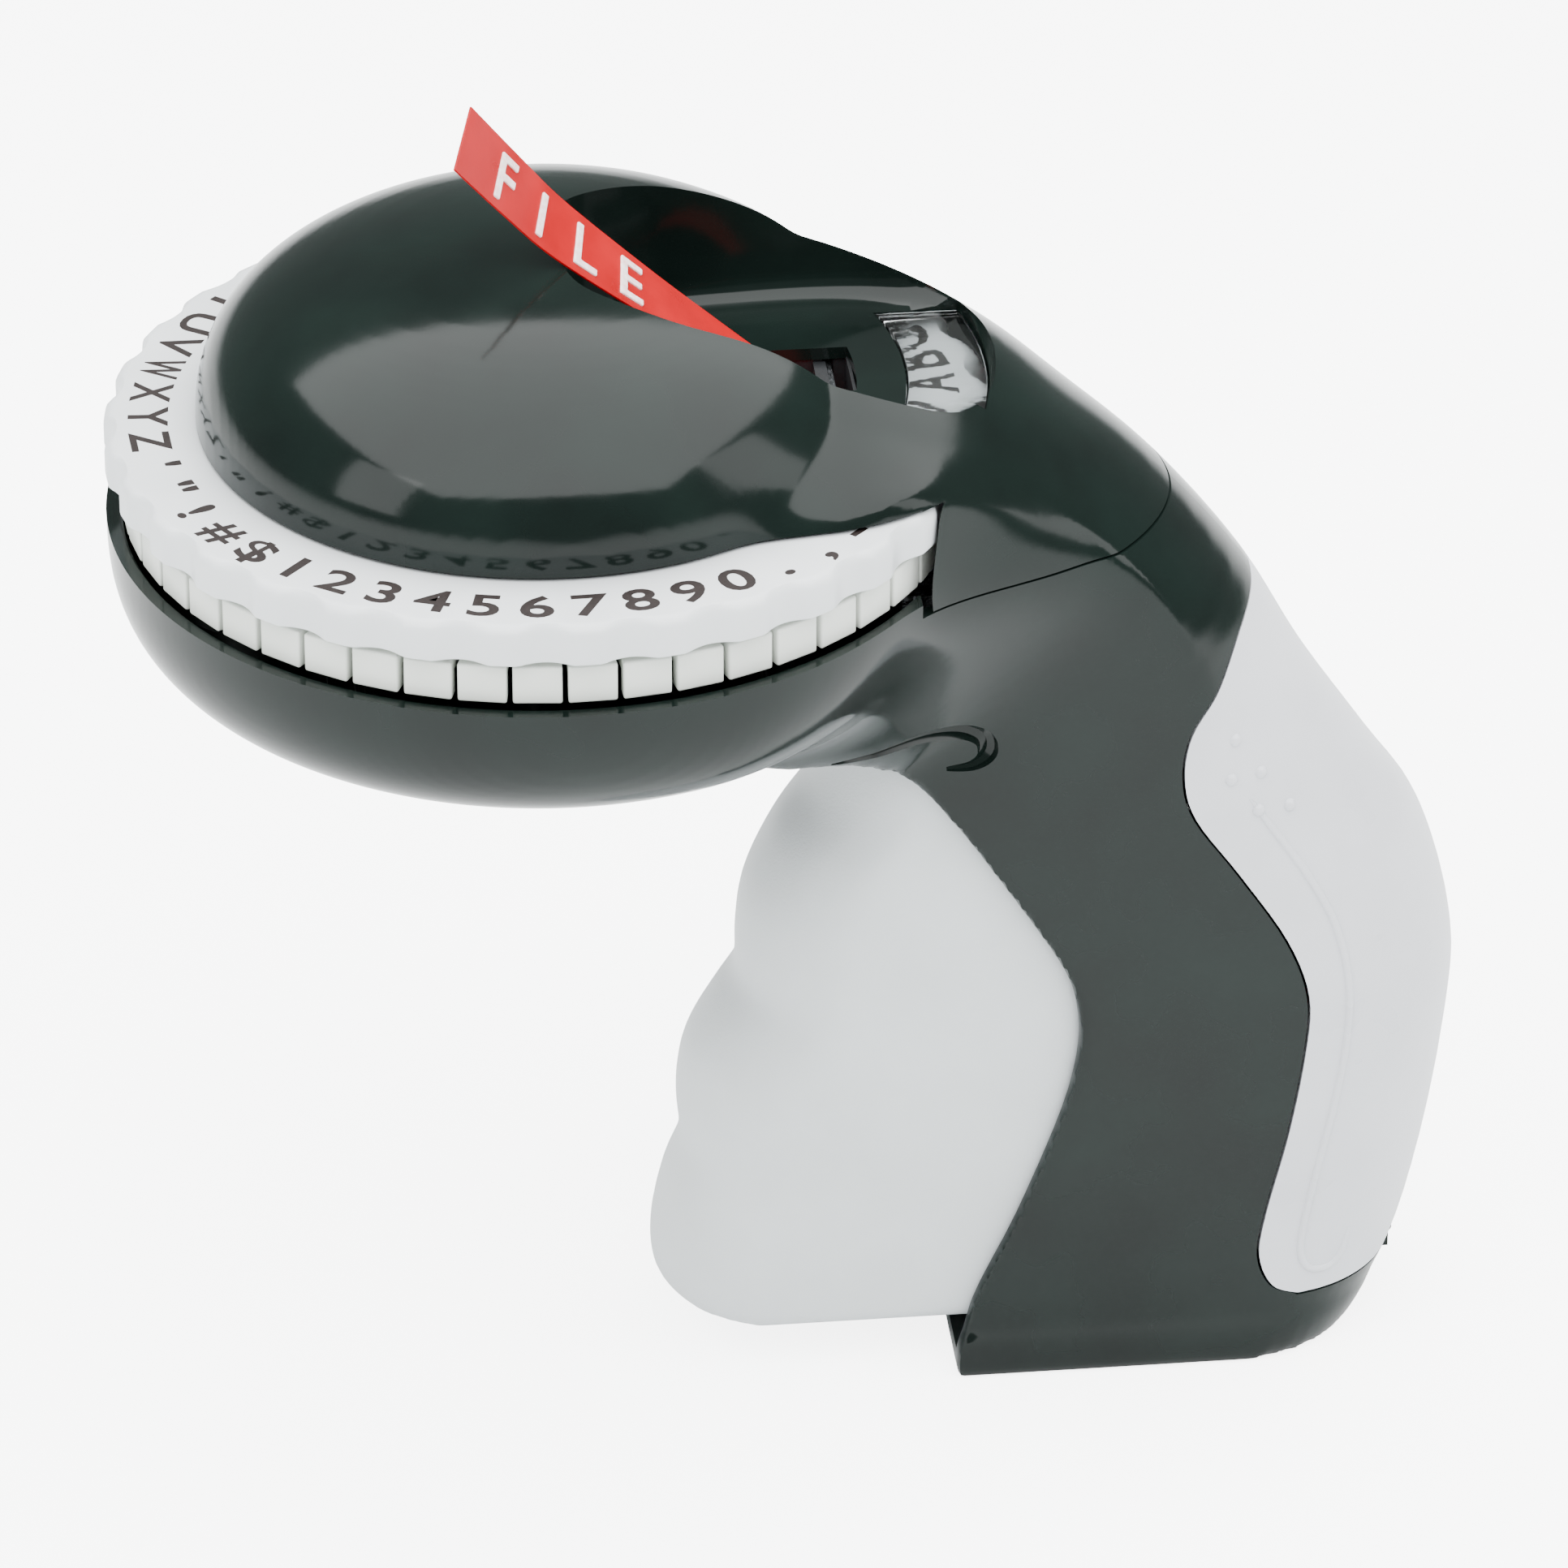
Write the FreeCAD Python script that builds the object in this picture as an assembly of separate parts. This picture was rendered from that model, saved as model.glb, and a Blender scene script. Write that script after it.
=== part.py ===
"""Gun-style manual embossing label maker.

Millimetres, +Z up.  The origin is the middle of the flat base on the surface that it stands on.
+X runs towards the palm side of the handle, the character dial overhangs towards -X, and the
object is nearly symmetric about the plane Y = 0.
"""
import FreeCAD
import Part
import math
import os

os.makedirs("parts", exist_ok=True)

V = FreeCAD.Vector

# ---------------------------------------------------------------- driving dimensions
DIAL_X = -77.0            # axis of the dial
WHEEL_Z = 124.5           # underside of the finger wheel
POSITIONS = 49            # characters on the dial
DIAL_R = 54.0             # outside of the dial ring
FINGER_R = 52.0           # outside of the embossing fingers
RING_TOP = WHEEL_Z + 11.4
RING_BOTTOM = WHEEL_Z + 6.1
RING_IN_R = 41.0
RING_CLEAR_R = DIAL_R + 0.6
NOTCHES = 33              # finger notches round the dial ring

DISH_R = 54.0             # lower bowl under the dial
DISH_DEPTH = 24.2
DISH_RIM_Z = WHEEL_Z - 0.6
DOME_R = 42.6             # cap over the dial
DOME_BASE_Z = RING_TOP + 0.8
DOME_TOP_Z = 159.4
PARTING_Z = 122.0         # joint between the top cover and the two body halves
PARTING_GAP = 0.3
WALL = 2.0

BASE_FLOOR = 3.0
CHANNEL_HALF = 15.5       # half the width inside the handle
TRIGGER_HALF = 15.0

RECESS_FLOOR = 139.4      # floor of the scoop in the top cover
RECESS_PLATE = 1.6
WINDOW_R1 = 44.8
WINDOW_R2 = 55.0
WINDOW_HALF = 14.0

TAPE_W = 9.0
TAPE_T = 0.3
TAPE_Z = WHEEL_Z + 5.6    # middle of the tape between the dies

TRIGGER_PIVOT = (-27.0, 101.0)
HAMMER_PIVOT = (-3.0, 111.0)
ROLL_AXIS = (19.2, 60.0)
ROLL_R = 15.5
DOOR_HINGE = (31.2, 10.6)
KNUCKLE_R = 0.8
HINGE_PIN_R = 0.35


# ---------------------------------------------------------------- small helpers
def save(shape, name):
    """Write one sub-part as parts/NAME.step."""
    shape.exportStep("parts/" + name + ".step")


def box(x0, x1, y0, y1, z0, z1):
    return Part.makeBox(x1 - x0, y1 - y0, z1 - z0, V(x0, y0, z0))


def post(x, y, z0, z1, radius):
    """Cylinder along Z."""
    return Part.makeCylinder(radius, z1 - z0, V(x, y, z0), V(0, 0, 1))


def pin(x, z, y0, y1, radius):
    """Cylinder along Y."""
    return Part.makeCylinder(radius, y1 - y0, V(x, y0, z), V(0, 1, 0))


def tube(x, z, y0, y1, radius, bore):
    return pin(x, z, y0, y1, radius).cut(pin(x, z, y0 - 1, y1 + 1, bore))


def plate(outline, y0, y1):
    """Flat plate: an outline of (x, z) points, thick from y0 to y1."""
    points = [V(x, y0, z) for x, z in outline]
    points.append(points[0])
    return Part.Face(Part.makePolygon(points)).extrude(V(0, y1 - y0, 0))


def strip(path, thickness, y0, y1):
    """Bent strip of even thickness along a path of (x, z) points."""
    left, right = [], []
    for i, (x, z) in enumerate(path):
        ax, az = path[max(i - 1, 0)]
        bx, bz = path[min(i + 1, len(path) - 1)]
        length = math.hypot(bx - ax, bz - az)
        nx, nz = -(bz - az) / length, (bx - ax) / length
        left.append((x + nx * thickness / 2, z + nz * thickness / 2))
        right.append((x - nx * thickness / 2, z - nz * thickness / 2))
    return plate(left + right[::-1], y0, y1)


def turned(profile):
    """Solid of revolution about the dial axis from (radius, z) corner points."""
    points = [V(DIAL_X + r, 0, z) for r, z in profile]
    points.append(points[0])
    face = Part.Face(Part.makePolygon(points))
    return face.revolve(V(DIAL_X, 0, 0), V(0, 0, 1), 360)


def spun_cap(radius, z_edge, z_pole, power, steps=9):
    """Cap of revolution whose section is a superellipse from the edge circle to the pole."""
    points = []
    for i in range(steps + 1):
        angle = math.pi / 2 * i / steps
        r = radius * math.cos(angle) ** (2 / power) if i < steps else 0.0
        h = math.sin(angle) ** (2 / power)
        points.append(V(DIAL_X + r, 0, z_edge + (z_pole - z_edge) * h))
    curve = Part.BSplineCurve()
    curve.interpolate(points)
    rim = V(DIAL_X, 0, z_edge)
    edges = [curve.toShape(), Part.makeLine(points[-1], rim), Part.makeLine(rim, points[0])]
    return Part.Face(Part.Wire(edges)).revolve(rim, V(0, 0, 1), 360)


def around_dial(shape, count, first=0.0):
    """Copies of a shape turned about the dial axis, as one compound."""
    copies = []
    for i in range(count):
        copy = shape.copy()
        copy.rotate(V(DIAL_X, 0, 0), V(0, 0, 1), first + 360.0 * i / count)
        copies.append(copy)
    return Part.makeCompound(copies)


def mirrored(shape):
    """The shape and its twin on the other side of Y = 0."""
    twin = shape.mirror(V(0, 0, 0), V(0, 1, 0))
    return Part.makeCompound([shape, twin])


# ---------------------------------------------------------------- neck and handle
# One bent body runs from under the dome, over the neck, down the handle to the base.
# A station is a flat section that fans round the bend: its inner point, its outer point, half
# the width at the inner point, then (fraction of the way out, half width) at three levels:
# the joint line, the skirt over the ring and the shoulder.  An arc crowns the outer side.
STATIONS = [
    ((-64.0, 104.0), (-64.0, 157.0), 20.0, (0.34, 36.0), (0.62, 36.0), (0.83, 24.0)),
    ((-50.0, 101.0), (-46.0, 154.0), 19.0, (0.40, 35.2), (0.68, 36.2), (0.84, 24.6)),
    ((-43.0, 97.5), (-32.0, 148.0), 17.4, (0.49, 33.2), (0.79, 32.0), (0.87, 23.0)),
    ((-39.0, 94.5), (-20.0, 140.8), 17.2, (0.60, 28.5), (0.82, 25.0), (0.89, 20.4)),
    ((-36.5, 92.5), (-10.2, 132.6), 17.2, (0.73, 24.0), (0.80, 22.4), (0.88, 19.6)),
    ((-33.8, 90.2), (0.6, 122.7), 17.2, (0.68, 20.4), (0.77, 20.0), (0.85, 19.5)),
    ((-27.8, 83.4), (11.1, 109.6), 17.2, (0.55, 18.6), (0.68, 18.8), (0.80, 18.8)),
    ((-20.2, 72.0), (18.9, 95.9), 17.3, (0.40, 17.8), (0.54, 18.1), (0.68, 18.2)),
    ((-13.3, 60.5), (27.6, 82.8), 17.3, (0.35, 17.7), (0.50, 17.8), (0.64, 17.9)),
    ((-11.4, 54.0), (34.4, 72.3), 17.4, (0.35, 17.6), (0.50, 17.7), (0.65, 17.7)),
    ((-11.3, 48.0), (38.7, 56.0), 17.4, (0.35, 17.5), (0.50, 17.6), (0.66, 17.6)),
    ((-13.2, 39.0), (38.3, 42.0), 17.4, (0.35, 17.5), (0.50, 17.5), (0.67, 17.5)),
    ((-18.8, 23.5), (35.8, 24.4), 17.4, (0.35, 17.5), (0.50, 17.5), (0.69, 17.5)),
    ((-24.6, 10.0), (32.2, 9.8), 17.5, (0.35, 17.6), (0.50, 17.6), (0.70, 17.5)),
    ((-26.0, 0.0), (27.0, 0.0), 17.7, (0.35, 17.8), (0.50, 17.8), (0.68, 17.7)),
]


def between(a, b, c, d, t):
    """Smooth value a share t of the way from b to c, with a and d as their outer neighbours."""
    slope_b, slope_c = (c - a) / 2, (d - b) / 2
    bulge = 3 * (c - b) - 2 * slope_b - slope_c
    return b + slope_b * t + bulge * t * t + (slope_b + slope_c - 2 * (c - b)) * t ** 3


def smoothed(rows, parts):
    """The same rows of numbers with smooth rows added between them."""
    fine = []
    for i in range(len(rows) - 1):
        four = [rows[max(i - 1, 0)], rows[i], rows[i + 1], rows[min(i + 2, len(rows) - 1)]]
        for k in range(parts):
            fine.append([between(*values, k / parts) for values in zip(*four)])
    fine.append(list(rows[-1]))
    return fine


def flat_row(station):
    inner, outer, foot, joint, skirt, shoulder = station
    return [*inner, *outer, foot, *joint, *skirt, *shoulder]


def section(row, inset):
    """Closed wire of one station, drawn in by the wall thickness where inset is not 0."""
    bx, bz, cx, cz, foot = row[:5]
    levels = [row[5:7], row[7:9], row[9:11]]
    length = math.hypot(cx - bx, cz - bz)
    ux, uz = (cx - bx) / length, (cz - bz) / length

    def at(distance, y):
        return V(bx + ux * distance, y, bz + uz * distance)

    rows = [(inset, foot - inset)]
    for share, half in levels:
        rows.append((share * length, half - inset))
    near = [at(d, -w) for d, w in rows]
    far = [at(d, w) for d, w in rows]
    edges = [Part.makeLine(far[0], near[0])]
    edges += [Part.makeLine(near[i], near[i + 1]) for i in range(3)]
    edges.append(Part.Arc(near[3], at(length - inset, 0), far[3]).toShape())
    edges += [Part.makeLine(far[i + 1], far[i]) for i in (2, 1, 0)]
    return Part.Wire(edges)


def bent_body(inset):
    rows = smoothed([flat_row(station) for station in STATIONS], 2)
    return Part.makeLoft([section(row, inset) for row in rows], True, True)


ABOVE = box(-150, 60, -80, 80, PARTING_Z + PARTING_GAP, 200)
BELOW = box(-150, 60, -80, 80, -20, PARTING_Z)

NECK_OUT = bent_body(0.0)
NECK_IN = bent_body(WALL)
NECK_TOP = NECK_OUT.common(ABOVE)

# ---------------------------------------------------------------- inner cavities of the case
DISH_OUT = spun_cap(DISH_R, DISH_RIM_Z, DISH_RIM_Z - DISH_DEPTH, 3.0)
DISH_IN = spun_cap(DISH_R - WALL, DISH_RIM_Z + 0.01, DISH_RIM_Z - DISH_DEPTH + WALL, 3.0)
DOME_OUT = spun_cap(DOME_R, DOME_BASE_Z, DOME_TOP_Z, 2.3)
DOME_IN = spun_cap(DOME_R - WALL, DOME_BASE_Z - 0.01, DOME_TOP_Z - WALL, 2.3)
RING_ROOM = post(DIAL_X, 0, 100, DOME_BASE_Z - 0.1, RING_CLEAR_R)


def scoop(margin, floor):
    """The scoop in the cover: a long rounded outline, open upwards."""
    stops = [(-75.5, 0.0), (-74.8, 6.5), (-71.6, 12.4), (-62.0, 17.8), (-51.0, 19.2),
             (-41.0, 19.5), (-33.0, 18.6), (-26.4, 16.2), (-22.2, 9.8), (-20.8, 0.0)]
    middle = -48.0
    points = []
    for x, half in stops:
        points.append(V(x + margin * (x - middle) / 27.0, half + margin * half / 18.0, floor))
    for x, half in stops[-2:0:-1]:
        points.append(V(x + margin * (x - middle) / 27.0, -half - margin * half / 18.0, floor))
    curve = Part.BSplineCurve()
    curve.interpolate(Points=points, PeriodicFlag=True)
    return Part.Face(Part.Wire(curve.toShape())).extrude(V(0, 0, 60))


def sector(r1, r2, half, z0, z1):
    """Piece of a ring about the dial axis, on the handle side, cut at Y = -half and half."""
    ring = post(DIAL_X, 0, z0, z1, r2).cut(post(DIAL_X, 0, z0 - 1, z1 + 1, r1))
    return ring.common(box(DIAL_X, 20, -half, half, z0 - 1, z1 + 1))


# ---------------------------------------------------------------- case pieces
COVER_BOSS_R = 5.6
SPINDLE_R = 3.0
SPINDLE_TOP = 150.0
SLOT = (-52.0, -38.6, 5.6)           # tape slot: ends along X, half width
CASE_SCREWS = [(-104.0, 110.6), (-50.0, 109.4), (-8.6, 94.0), (17.0, 6.3)]
SCREW_R = 1.3


def top_cover():
    """Domed cap, neck shell and scoop in one moulding."""
    outer = DOME_OUT.fuse(NECK_TOP)
    hollow = DOME_IN.fuse(NECK_IN.common(box(-150, 60, -80, 80, 100, 200)))
    hollow = hollow.cut(scoop(WALL, RECESS_FLOOR - RECESS_PLATE))
    shell = outer.cut(hollow)
    boss = post(DIAL_X, 0, RING_TOP - 2, 157.5, COVER_BOSS_R)
    shell = shell.fuse(boss.common(DOME_OUT))
    shell = shell.cut(RING_ROOM)
    shell = shell.cut(scoop(0.0, RECESS_FLOOR))
    shell = shell.cut(post(DIAL_X, 0, 100, SPINDLE_TOP, SPINDLE_R))
    shell = shell.cut(sector(WINDOW_R1, WINDOW_R2, WINDOW_HALF, 130, RECESS_FLOOR + 0.1))
    slot = box(SLOT[0], SLOT[1], -SLOT[2], SLOT[2], 130, RECESS_FLOOR + 1)
    return shell.cut(slot.common(post(DIAL_X, 0, 120, 150, 38.7)))


def window_lens():
    return sector(WINDOW_R1, WINDOW_R2, WINDOW_HALF, RECESS_FLOOR - RECESS_PLATE, RECESS_FLOOR)


def door_region(margin):
    """Side outline of the back cover, thick enough to cut right across the handle."""
    edge = [(12.6, 109.6), (8.6, 106.4), (5.4, 101.0), (2.1, 95.0), (1.3, 88.6), (2.9, 82.4),
            (8.8, 73.6), (15.0, 63.6), (18.0, 55.0), (17.8, 46.4), (16.0, 34.4), (13.4, 22.6),
            (12.6, 15.9), (14.4, 11.2), (17.8, 9.6)]
    curve = Part.BSplineCurve()
    curve.interpolate([V(x - margin, -60, z) for x, z in edge])
    last = edge[-1]
    low = last[1] - margin
    corners = [V(last[0] - margin, -60, last[1]), V(last[0], -60, low), V(60, -60, low),
               V(60, -60, 109.6), V(12.6 - margin, -60, 109.6)]
    wire = Part.Wire([curve.toShape()] + Part.makePolygon(corners).Edges)
    return Part.Face(wire).extrude(V(0, 120, 0))


def case_shell():
    """Bowl, neck and handle in one piece, before it is split down the middle."""
    bowl = DISH_OUT.cut(NECK_OUT.common(ABOVE)).fuse(NECK_OUT.common(BELOW))
    hollow = DISH_IN.fuse(NECK_IN.common(box(-150, 60, -80, 80, BASE_FLOOR, 200)))
    shell = bowl.cut(hollow)
    spindle_seat = post(DIAL_X, 0, 100.5, 121.0, 6.5).cut(post(DIAL_X, 0, 103, 130, SPINDLE_R))
    shell = shell.fuse(spindle_seat)
    for x, z in CASE_SCREWS:
        shell = shell.fuse(pin(x, z, -50, 50, 3.0).common(bowl))
    mouth = box(-80, 0, -CHANNEL_HALF, CHANNEL_HALF, BASE_FLOOR, 90.5)
    throat = box(-46, -22, -9.0, 9.0, 84, 100)
    shell = shell.cut(mouth).cut(throat)
    room = post(DIAL_X, 0, DISH_RIM_Z - 0.6, 140, FINGER_R + 0.4)
    shell = shell.cut(room).cut(door_region(0.35))
    x, z = DOOR_HINGE
    foot = box(x - 0.8, x + 0.4, 2.75, 4.6, z - 3.0, z)
    knuckles = mirrored(foot.fuse(pin(x, z, 2.75, 4.6, KNUCKLE_R)))
    return shell.fuse(knuckles).cut(pin(x, z, -6, 6, HINGE_PIN_R + 0.02))


def case_halves():
    whole = case_shell()
    for x, z in CASE_SCREWS:
        whole = whole.cut(pin(x, z, -9, 12, SCREW_R))
        whole = whole.cut(pin(x, z, 12, 60, 2.9))
    left = whole.common(box(-150, 60, -80, -0.02, -20, 200))
    right = whole.common(box(-150, 60, 0.02, 80, -20, 200))
    return left, right


def back_cover():
    """Tape door: the grey palm side of the handle, hinged at its lower edge."""
    shell = NECK_OUT.cut(NECK_IN).common(door_region(0.0))
    dots = [(7.7, 93.4), (7.2, 88.1), (11.1, 88.2), (10.8, 83.2), (14.9, 83.0)]
    for x, z in dots:
        for side in (-1, 1):
            ends = sorted((side * 16.6, side * 18.3))
            shell = shell.fuse(pin(x, z, *ends, 0.8))
    x, z = DOOR_HINGE
    for side in (-1, 1):
        ends = sorted((side * 2.5, side * 4.85))
        shell = shell.cut(pin(x, z, *ends, KNUCKLE_R + 0.35))
    shell = shell.cut(box(x - 3, x + 3, -4.85, 4.85, z - 3, z))
    shell = shell.fuse(pin(x, z, -2.5, 2.5, KNUCKLE_R))
    return largest(shell.cut(pin(x, z, -6, 6, HINGE_PIN_R + 0.05)))


def hinge_pin():
    return pin(*DOOR_HINGE, -4.6, 4.6, HINGE_PIN_R)


def largest(shape):
    """The biggest solid of a shape, without slivers left by a cut."""
    return max(shape.Solids, key=lambda solid: solid.Volume)


def case_screws():
    solids = []
    for x, z in CASE_SCREWS:
        head = pin(x, z, 12.0, 14.0, 2.6).cut(box(x - 3, x + 3, 13.2, 15, z - 0.4, z + 0.4))
        solids.append(head.fuse(pin(x, z, -8.5, 12.0, SCREW_R)))
    return Part.makeCompound(solids)


# ---------------------------------------------------------------- dial
SLIT = 0.9                # gap between fingers
WEB = (WHEEL_Z + 3.0, WHEEL_Z + 5.1)
HUB_TOP = WHEEL_Z + 8.0


def dial_ring():
    """Lettered ring with a scalloped grip rim."""
    ring = turned([(RING_IN_R, RING_TOP - 1.6), (DIAL_R - 2.6, RING_TOP - 1.6),
                   (DIAL_R - 2.6, RING_BOTTOM), (DIAL_R, RING_BOTTOM), (DIAL_R, RING_TOP - 1.0),
                   (DIAL_R - 1.0, RING_TOP), (RING_IN_R, RING_TOP)])
    notch_r, depth = 7.0, 0.8
    cutter = post(DIAL_X + DIAL_R + notch_r - depth, 0, RING_BOTTOM - 1, RING_TOP + 1, notch_r)
    return ring.cut(around_dial(cutter, NOTCHES, -83.5))


def upper_die_ring():
    """Inward fingers over the tape, hung from the dial ring."""
    inner, collar, outer = 38.9, 47.4, DIAL_R - 2.65
    low, high = RING_BOTTOM, RING_BOTTOM + 1.9
    ring = turned([(inner, low), (outer, low), (outer, RING_TOP - 1.6), (collar, RING_TOP - 1.6),
                   (collar, high), (inner, high)])
    slit = box(DIAL_X + inner - 2, DIAL_X + collar - 0.6, -0.4, 0.4, low - 1, high + 1)
    return ring.cut(around_dial(slit, POSITIONS, 180.0 / POSITIONS))


def finger_wheel():
    """Lower die wheel: 49 springy fingers with square outer ends."""
    low, high = WEB
    wheel = turned([(8.0, low), (49.8, low), (49.8, WHEEL_Z), (FINGER_R, WHEEL_Z),
                    (FINGER_R, high), (8.0, high)])
    slit = box(DIAL_X + 30, DIAL_X + FINGER_R + 2, -SLIT / 2, SLIT / 2, WHEEL_Z - 1, high + 1)
    return wheel.cut(around_dial(slit, POSITIONS, 180.0 / POSITIONS))


def dial_hub():
    hub = post(DIAL_X, 0, WHEEL_Z - 3.0, HUB_TOP, 8.0)
    return hub.cut(post(DIAL_X, 0, 100, 150, SPINDLE_R + 0.06))


def detent_wheel():
    """Notched ring under the wheel that makes each character click in."""
    ring = turned([(18.0, WHEEL_Z + 0.2), (22.0, WHEEL_Z + 0.2), (22.0, WEB[0]), (18.0, WEB[0])])
    notch = post(DIAL_X + 22.6, 0, WHEEL_Z - 1, WHEEL_Z + 2.4, 1.1)
    return ring.cut(around_dial(notch, POSITIONS))


def detent_spring():
    """Flat spring on the spindle seat, its rounded nose resting in a notch."""
    leaf = box(DIAL_X + 6.5, DIAL_X + 25.6, -2.0, 2.0, 117.0, 117.8)
    arm = box(DIAL_X + 24.8, DIAL_X + 25.6, -2.0, 2.0, 117.0, WHEEL_Z + 2.2)
    nose = post(DIAL_X + 24.0, 0, WHEEL_Z + 0.2, WHEEL_Z + 2.2, 0.9)
    return leaf.fuse(arm).fuse(nose)


def dial_spindle():
    return post(DIAL_X, 0, 103.0, SPINDLE_TOP, SPINDLE_R)


def spindle_clip():
    ring = post(DIAL_X, 0, HUB_TOP + 0.4, HUB_TOP + 1.2, 5.6).cut(
        post(DIAL_X, 0, 100, 150, SPINDLE_R))
    return ring.cut(box(DIAL_X - 1.6, DIAL_X + 1.6, 0, 8, 130, 136))


# ---------------------------------------------------------------- embossing train
def anvil():
    """Steel block above the die fingers, held under the scoop floor."""
    block = sector(40.2, 46.4, 5.0, RING_BOTTOM + 2.3, RING_BOTTOM + 3.2)
    neck = sector(39.4, 40.6, 5.0, RING_BOTTOM + 2.3, RECESS_FLOOR - RECESS_PLATE)
    return block.fuse(neck)


def cutter_guide():
    """Two posts that guide the blade, hung from the scoop floor."""
    side = box(-43.4, -39.8, 6.3, 8.0, 131.6, RECESS_FLOOR - RECESS_PLATE)
    groove = box(-41.6, -40.4, 6.0, 6.9, 131.0, RECESS_FLOOR)
    return mirrored(side.cut(groove))


def cutter_blade():
    return plate([(-41.3, 134.6), (-40.7, 133.4), (-40.7, 137.2), (-41.3, 137.2)], -6.6, 6.6)


def blade_holder():
    return box(-42.9, -41.35, -5.9, 5.9, 135.2, 137.4)


def tape_strip():
    """Vinyl tape: flat run through the rollers and dies, then the free, twisting end."""
    run = [(3.1, 64.0), (3.3, 98.0), (2.4, 112.0), (-3.5, 120.6), (-8.5, 126.6),
           (-12.8, TAPE_Z), (-39.0, TAPE_Z), (-43.0, 133.6), (-47.0, 137.6)]
    inner = strip(run, TAPE_T, -TAPE_W / 2, TAPE_W / 2)
    # centre, then the direction across the width
    free = [((-47.0, 0.0, 137.6), (0.0, 1.0, 0.0)),
            ((-54.0, -0.1, 143.4), (0.03, 1.0, 0.08)),
            ((-63.8, -1.2, 151.9), (0.10, 0.96, 0.22)),
            ((-74.9, -3.7, 162.7), (0.20, 0.89, 0.40)),
            ((-80.8, -6.0, 170.2), (0.25, 0.84, 0.48)),
            ((-86.8, -9.4, 178.7), (0.28, 0.79, 0.54))]
    wires = []
    for i, (centre, across) in enumerate(free):
        c = V(*centre)
        before = V(*free[max(i - 1, 0)][0])
        after = V(*free[min(i + 1, len(free) - 1)][0])
        along = (after - before).normalize()
        w = V(*across)
        w = (w - along * w.dot(along)).normalize() * (TAPE_W / 2)
        n = along.cross(w).normalize() * (TAPE_T / 2)
        corners = [c + w + n, c - w + n, c - w - n, c + w - n, c + w + n]
        wires.append(Part.makePolygon(corners))
    return inner.fuse(Part.makeLoft(wires, True, True))


def tape_guide():
    """Moulded channel that turns the tape from the handle into the dial."""
    path = [(2.2, 84.4), (2.2, 99.0), (1.4, 111.6), (-4.3, 119.6), (-8.6, 124.6)]
    floor = strip(path, 1.0, -7.0, 7.0)
    lip = [(1.7, 84.4), (5.2, 84.4), (5.2, 98.0), (3.6, 112.2), (-3.2, 121.2), (-8.0, 126.6),
           (-9.2, 124.2), (-4.8, 119.2), (0.9, 111.4), (1.7, 99.0)]
    return floor.fuse(mirrored(plate(lip, 6.2, 7.0)))


def hammer_lever():
    """Lever that lifts the die hammer under the dial."""
    bar = plate([(-40.0, 108.4), (-5.0, 107.6), (-5.0, 114.0), (-33.0, 113.4), (-40.0, 112.4)],
                -3.0, 3.0)
    eye = pin(*HAMMER_PIVOT, -3.0, 3.0, 3.1)
    ear = box(SPRING_AT[0] - 2.6, SPRING_AT[0] + 2.6, 2.0, 8.8, SPRING_LOW - 1.2, SPRING_LOW)
    return bar.fuse(eye).fuse(ear).cut(pin(*HAMMER_PIVOT, -5, 5, 2.05))


def hammer_head():
    stem = box(-39.2, -35.4, -2.6, 2.6, 112.4, 122.0)
    return stem.cut(hammer_lever()).fuse(box(-38.8, -35.8, -2.2, 2.2, 122.0, WHEEL_Z - 0.6))


SPRING_AT = (-10.5, 6.3)      # axis of the hammer spring
SPRING_LOW = 108.8
SPRING_HIGH = 114.4


def hammer_spring():
    """Light coil between the lever's ear and a tab of the side plate; it presses the ear down."""
    turns, radius, wire = 4, 2.1, 0.6
    room = SPRING_HIGH - SPRING_LOW - wire - 0.1
    helix = Part.makeHelix(room / turns, room, radius)
    profile = Part.Wire(Part.makeCircle(wire / 2, V(radius, 0, 0), V(0, 1, 0)))
    coil = Part.Wire(helix).makePipeShell([profile], True, True)
    coil.translate(V(SPRING_AT[0], SPRING_AT[1], SPRING_LOW + wire / 2 + 0.05))
    return coil


def trigger_lever():
    """Steel bell crank on the trigger pin, moulded into the trigger."""
    px, pz = TRIGGER_PIVOT
    side = plate([(-40.5, 84.0), (-36.0, 84.0), (-24.0, 98.5), (-24.6, 103.6), (-29.6, 103.6),
                  (-30.4, 99.0)], 6.0, 7.4)
    sides = mirrored(side)
    lever = sides.Solids[0].fuse(sides.Solids[1])
    cross = box(-40.2, -37.0, -7.4, 7.4, 84.2, 86.0)
    lever = lever.fuse(cross)
    arm = plate([(px - 2.4, pz - 2.8), (px + 3.0, pz - 2.8), (-17.6, 104.0), (-18.0, 106.8),
                 (-20.4, 107.2), (px, pz + 2.9), (px - 2.4, pz + 2.6)], -2.4, 2.4)
    tie = tube(px, pz, -7.4, 7.4, 2.9, 2.05)
    return lever.fuse(arm).fuse(tie).cut(pin(px, pz, -10, 10, 2.05))


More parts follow.
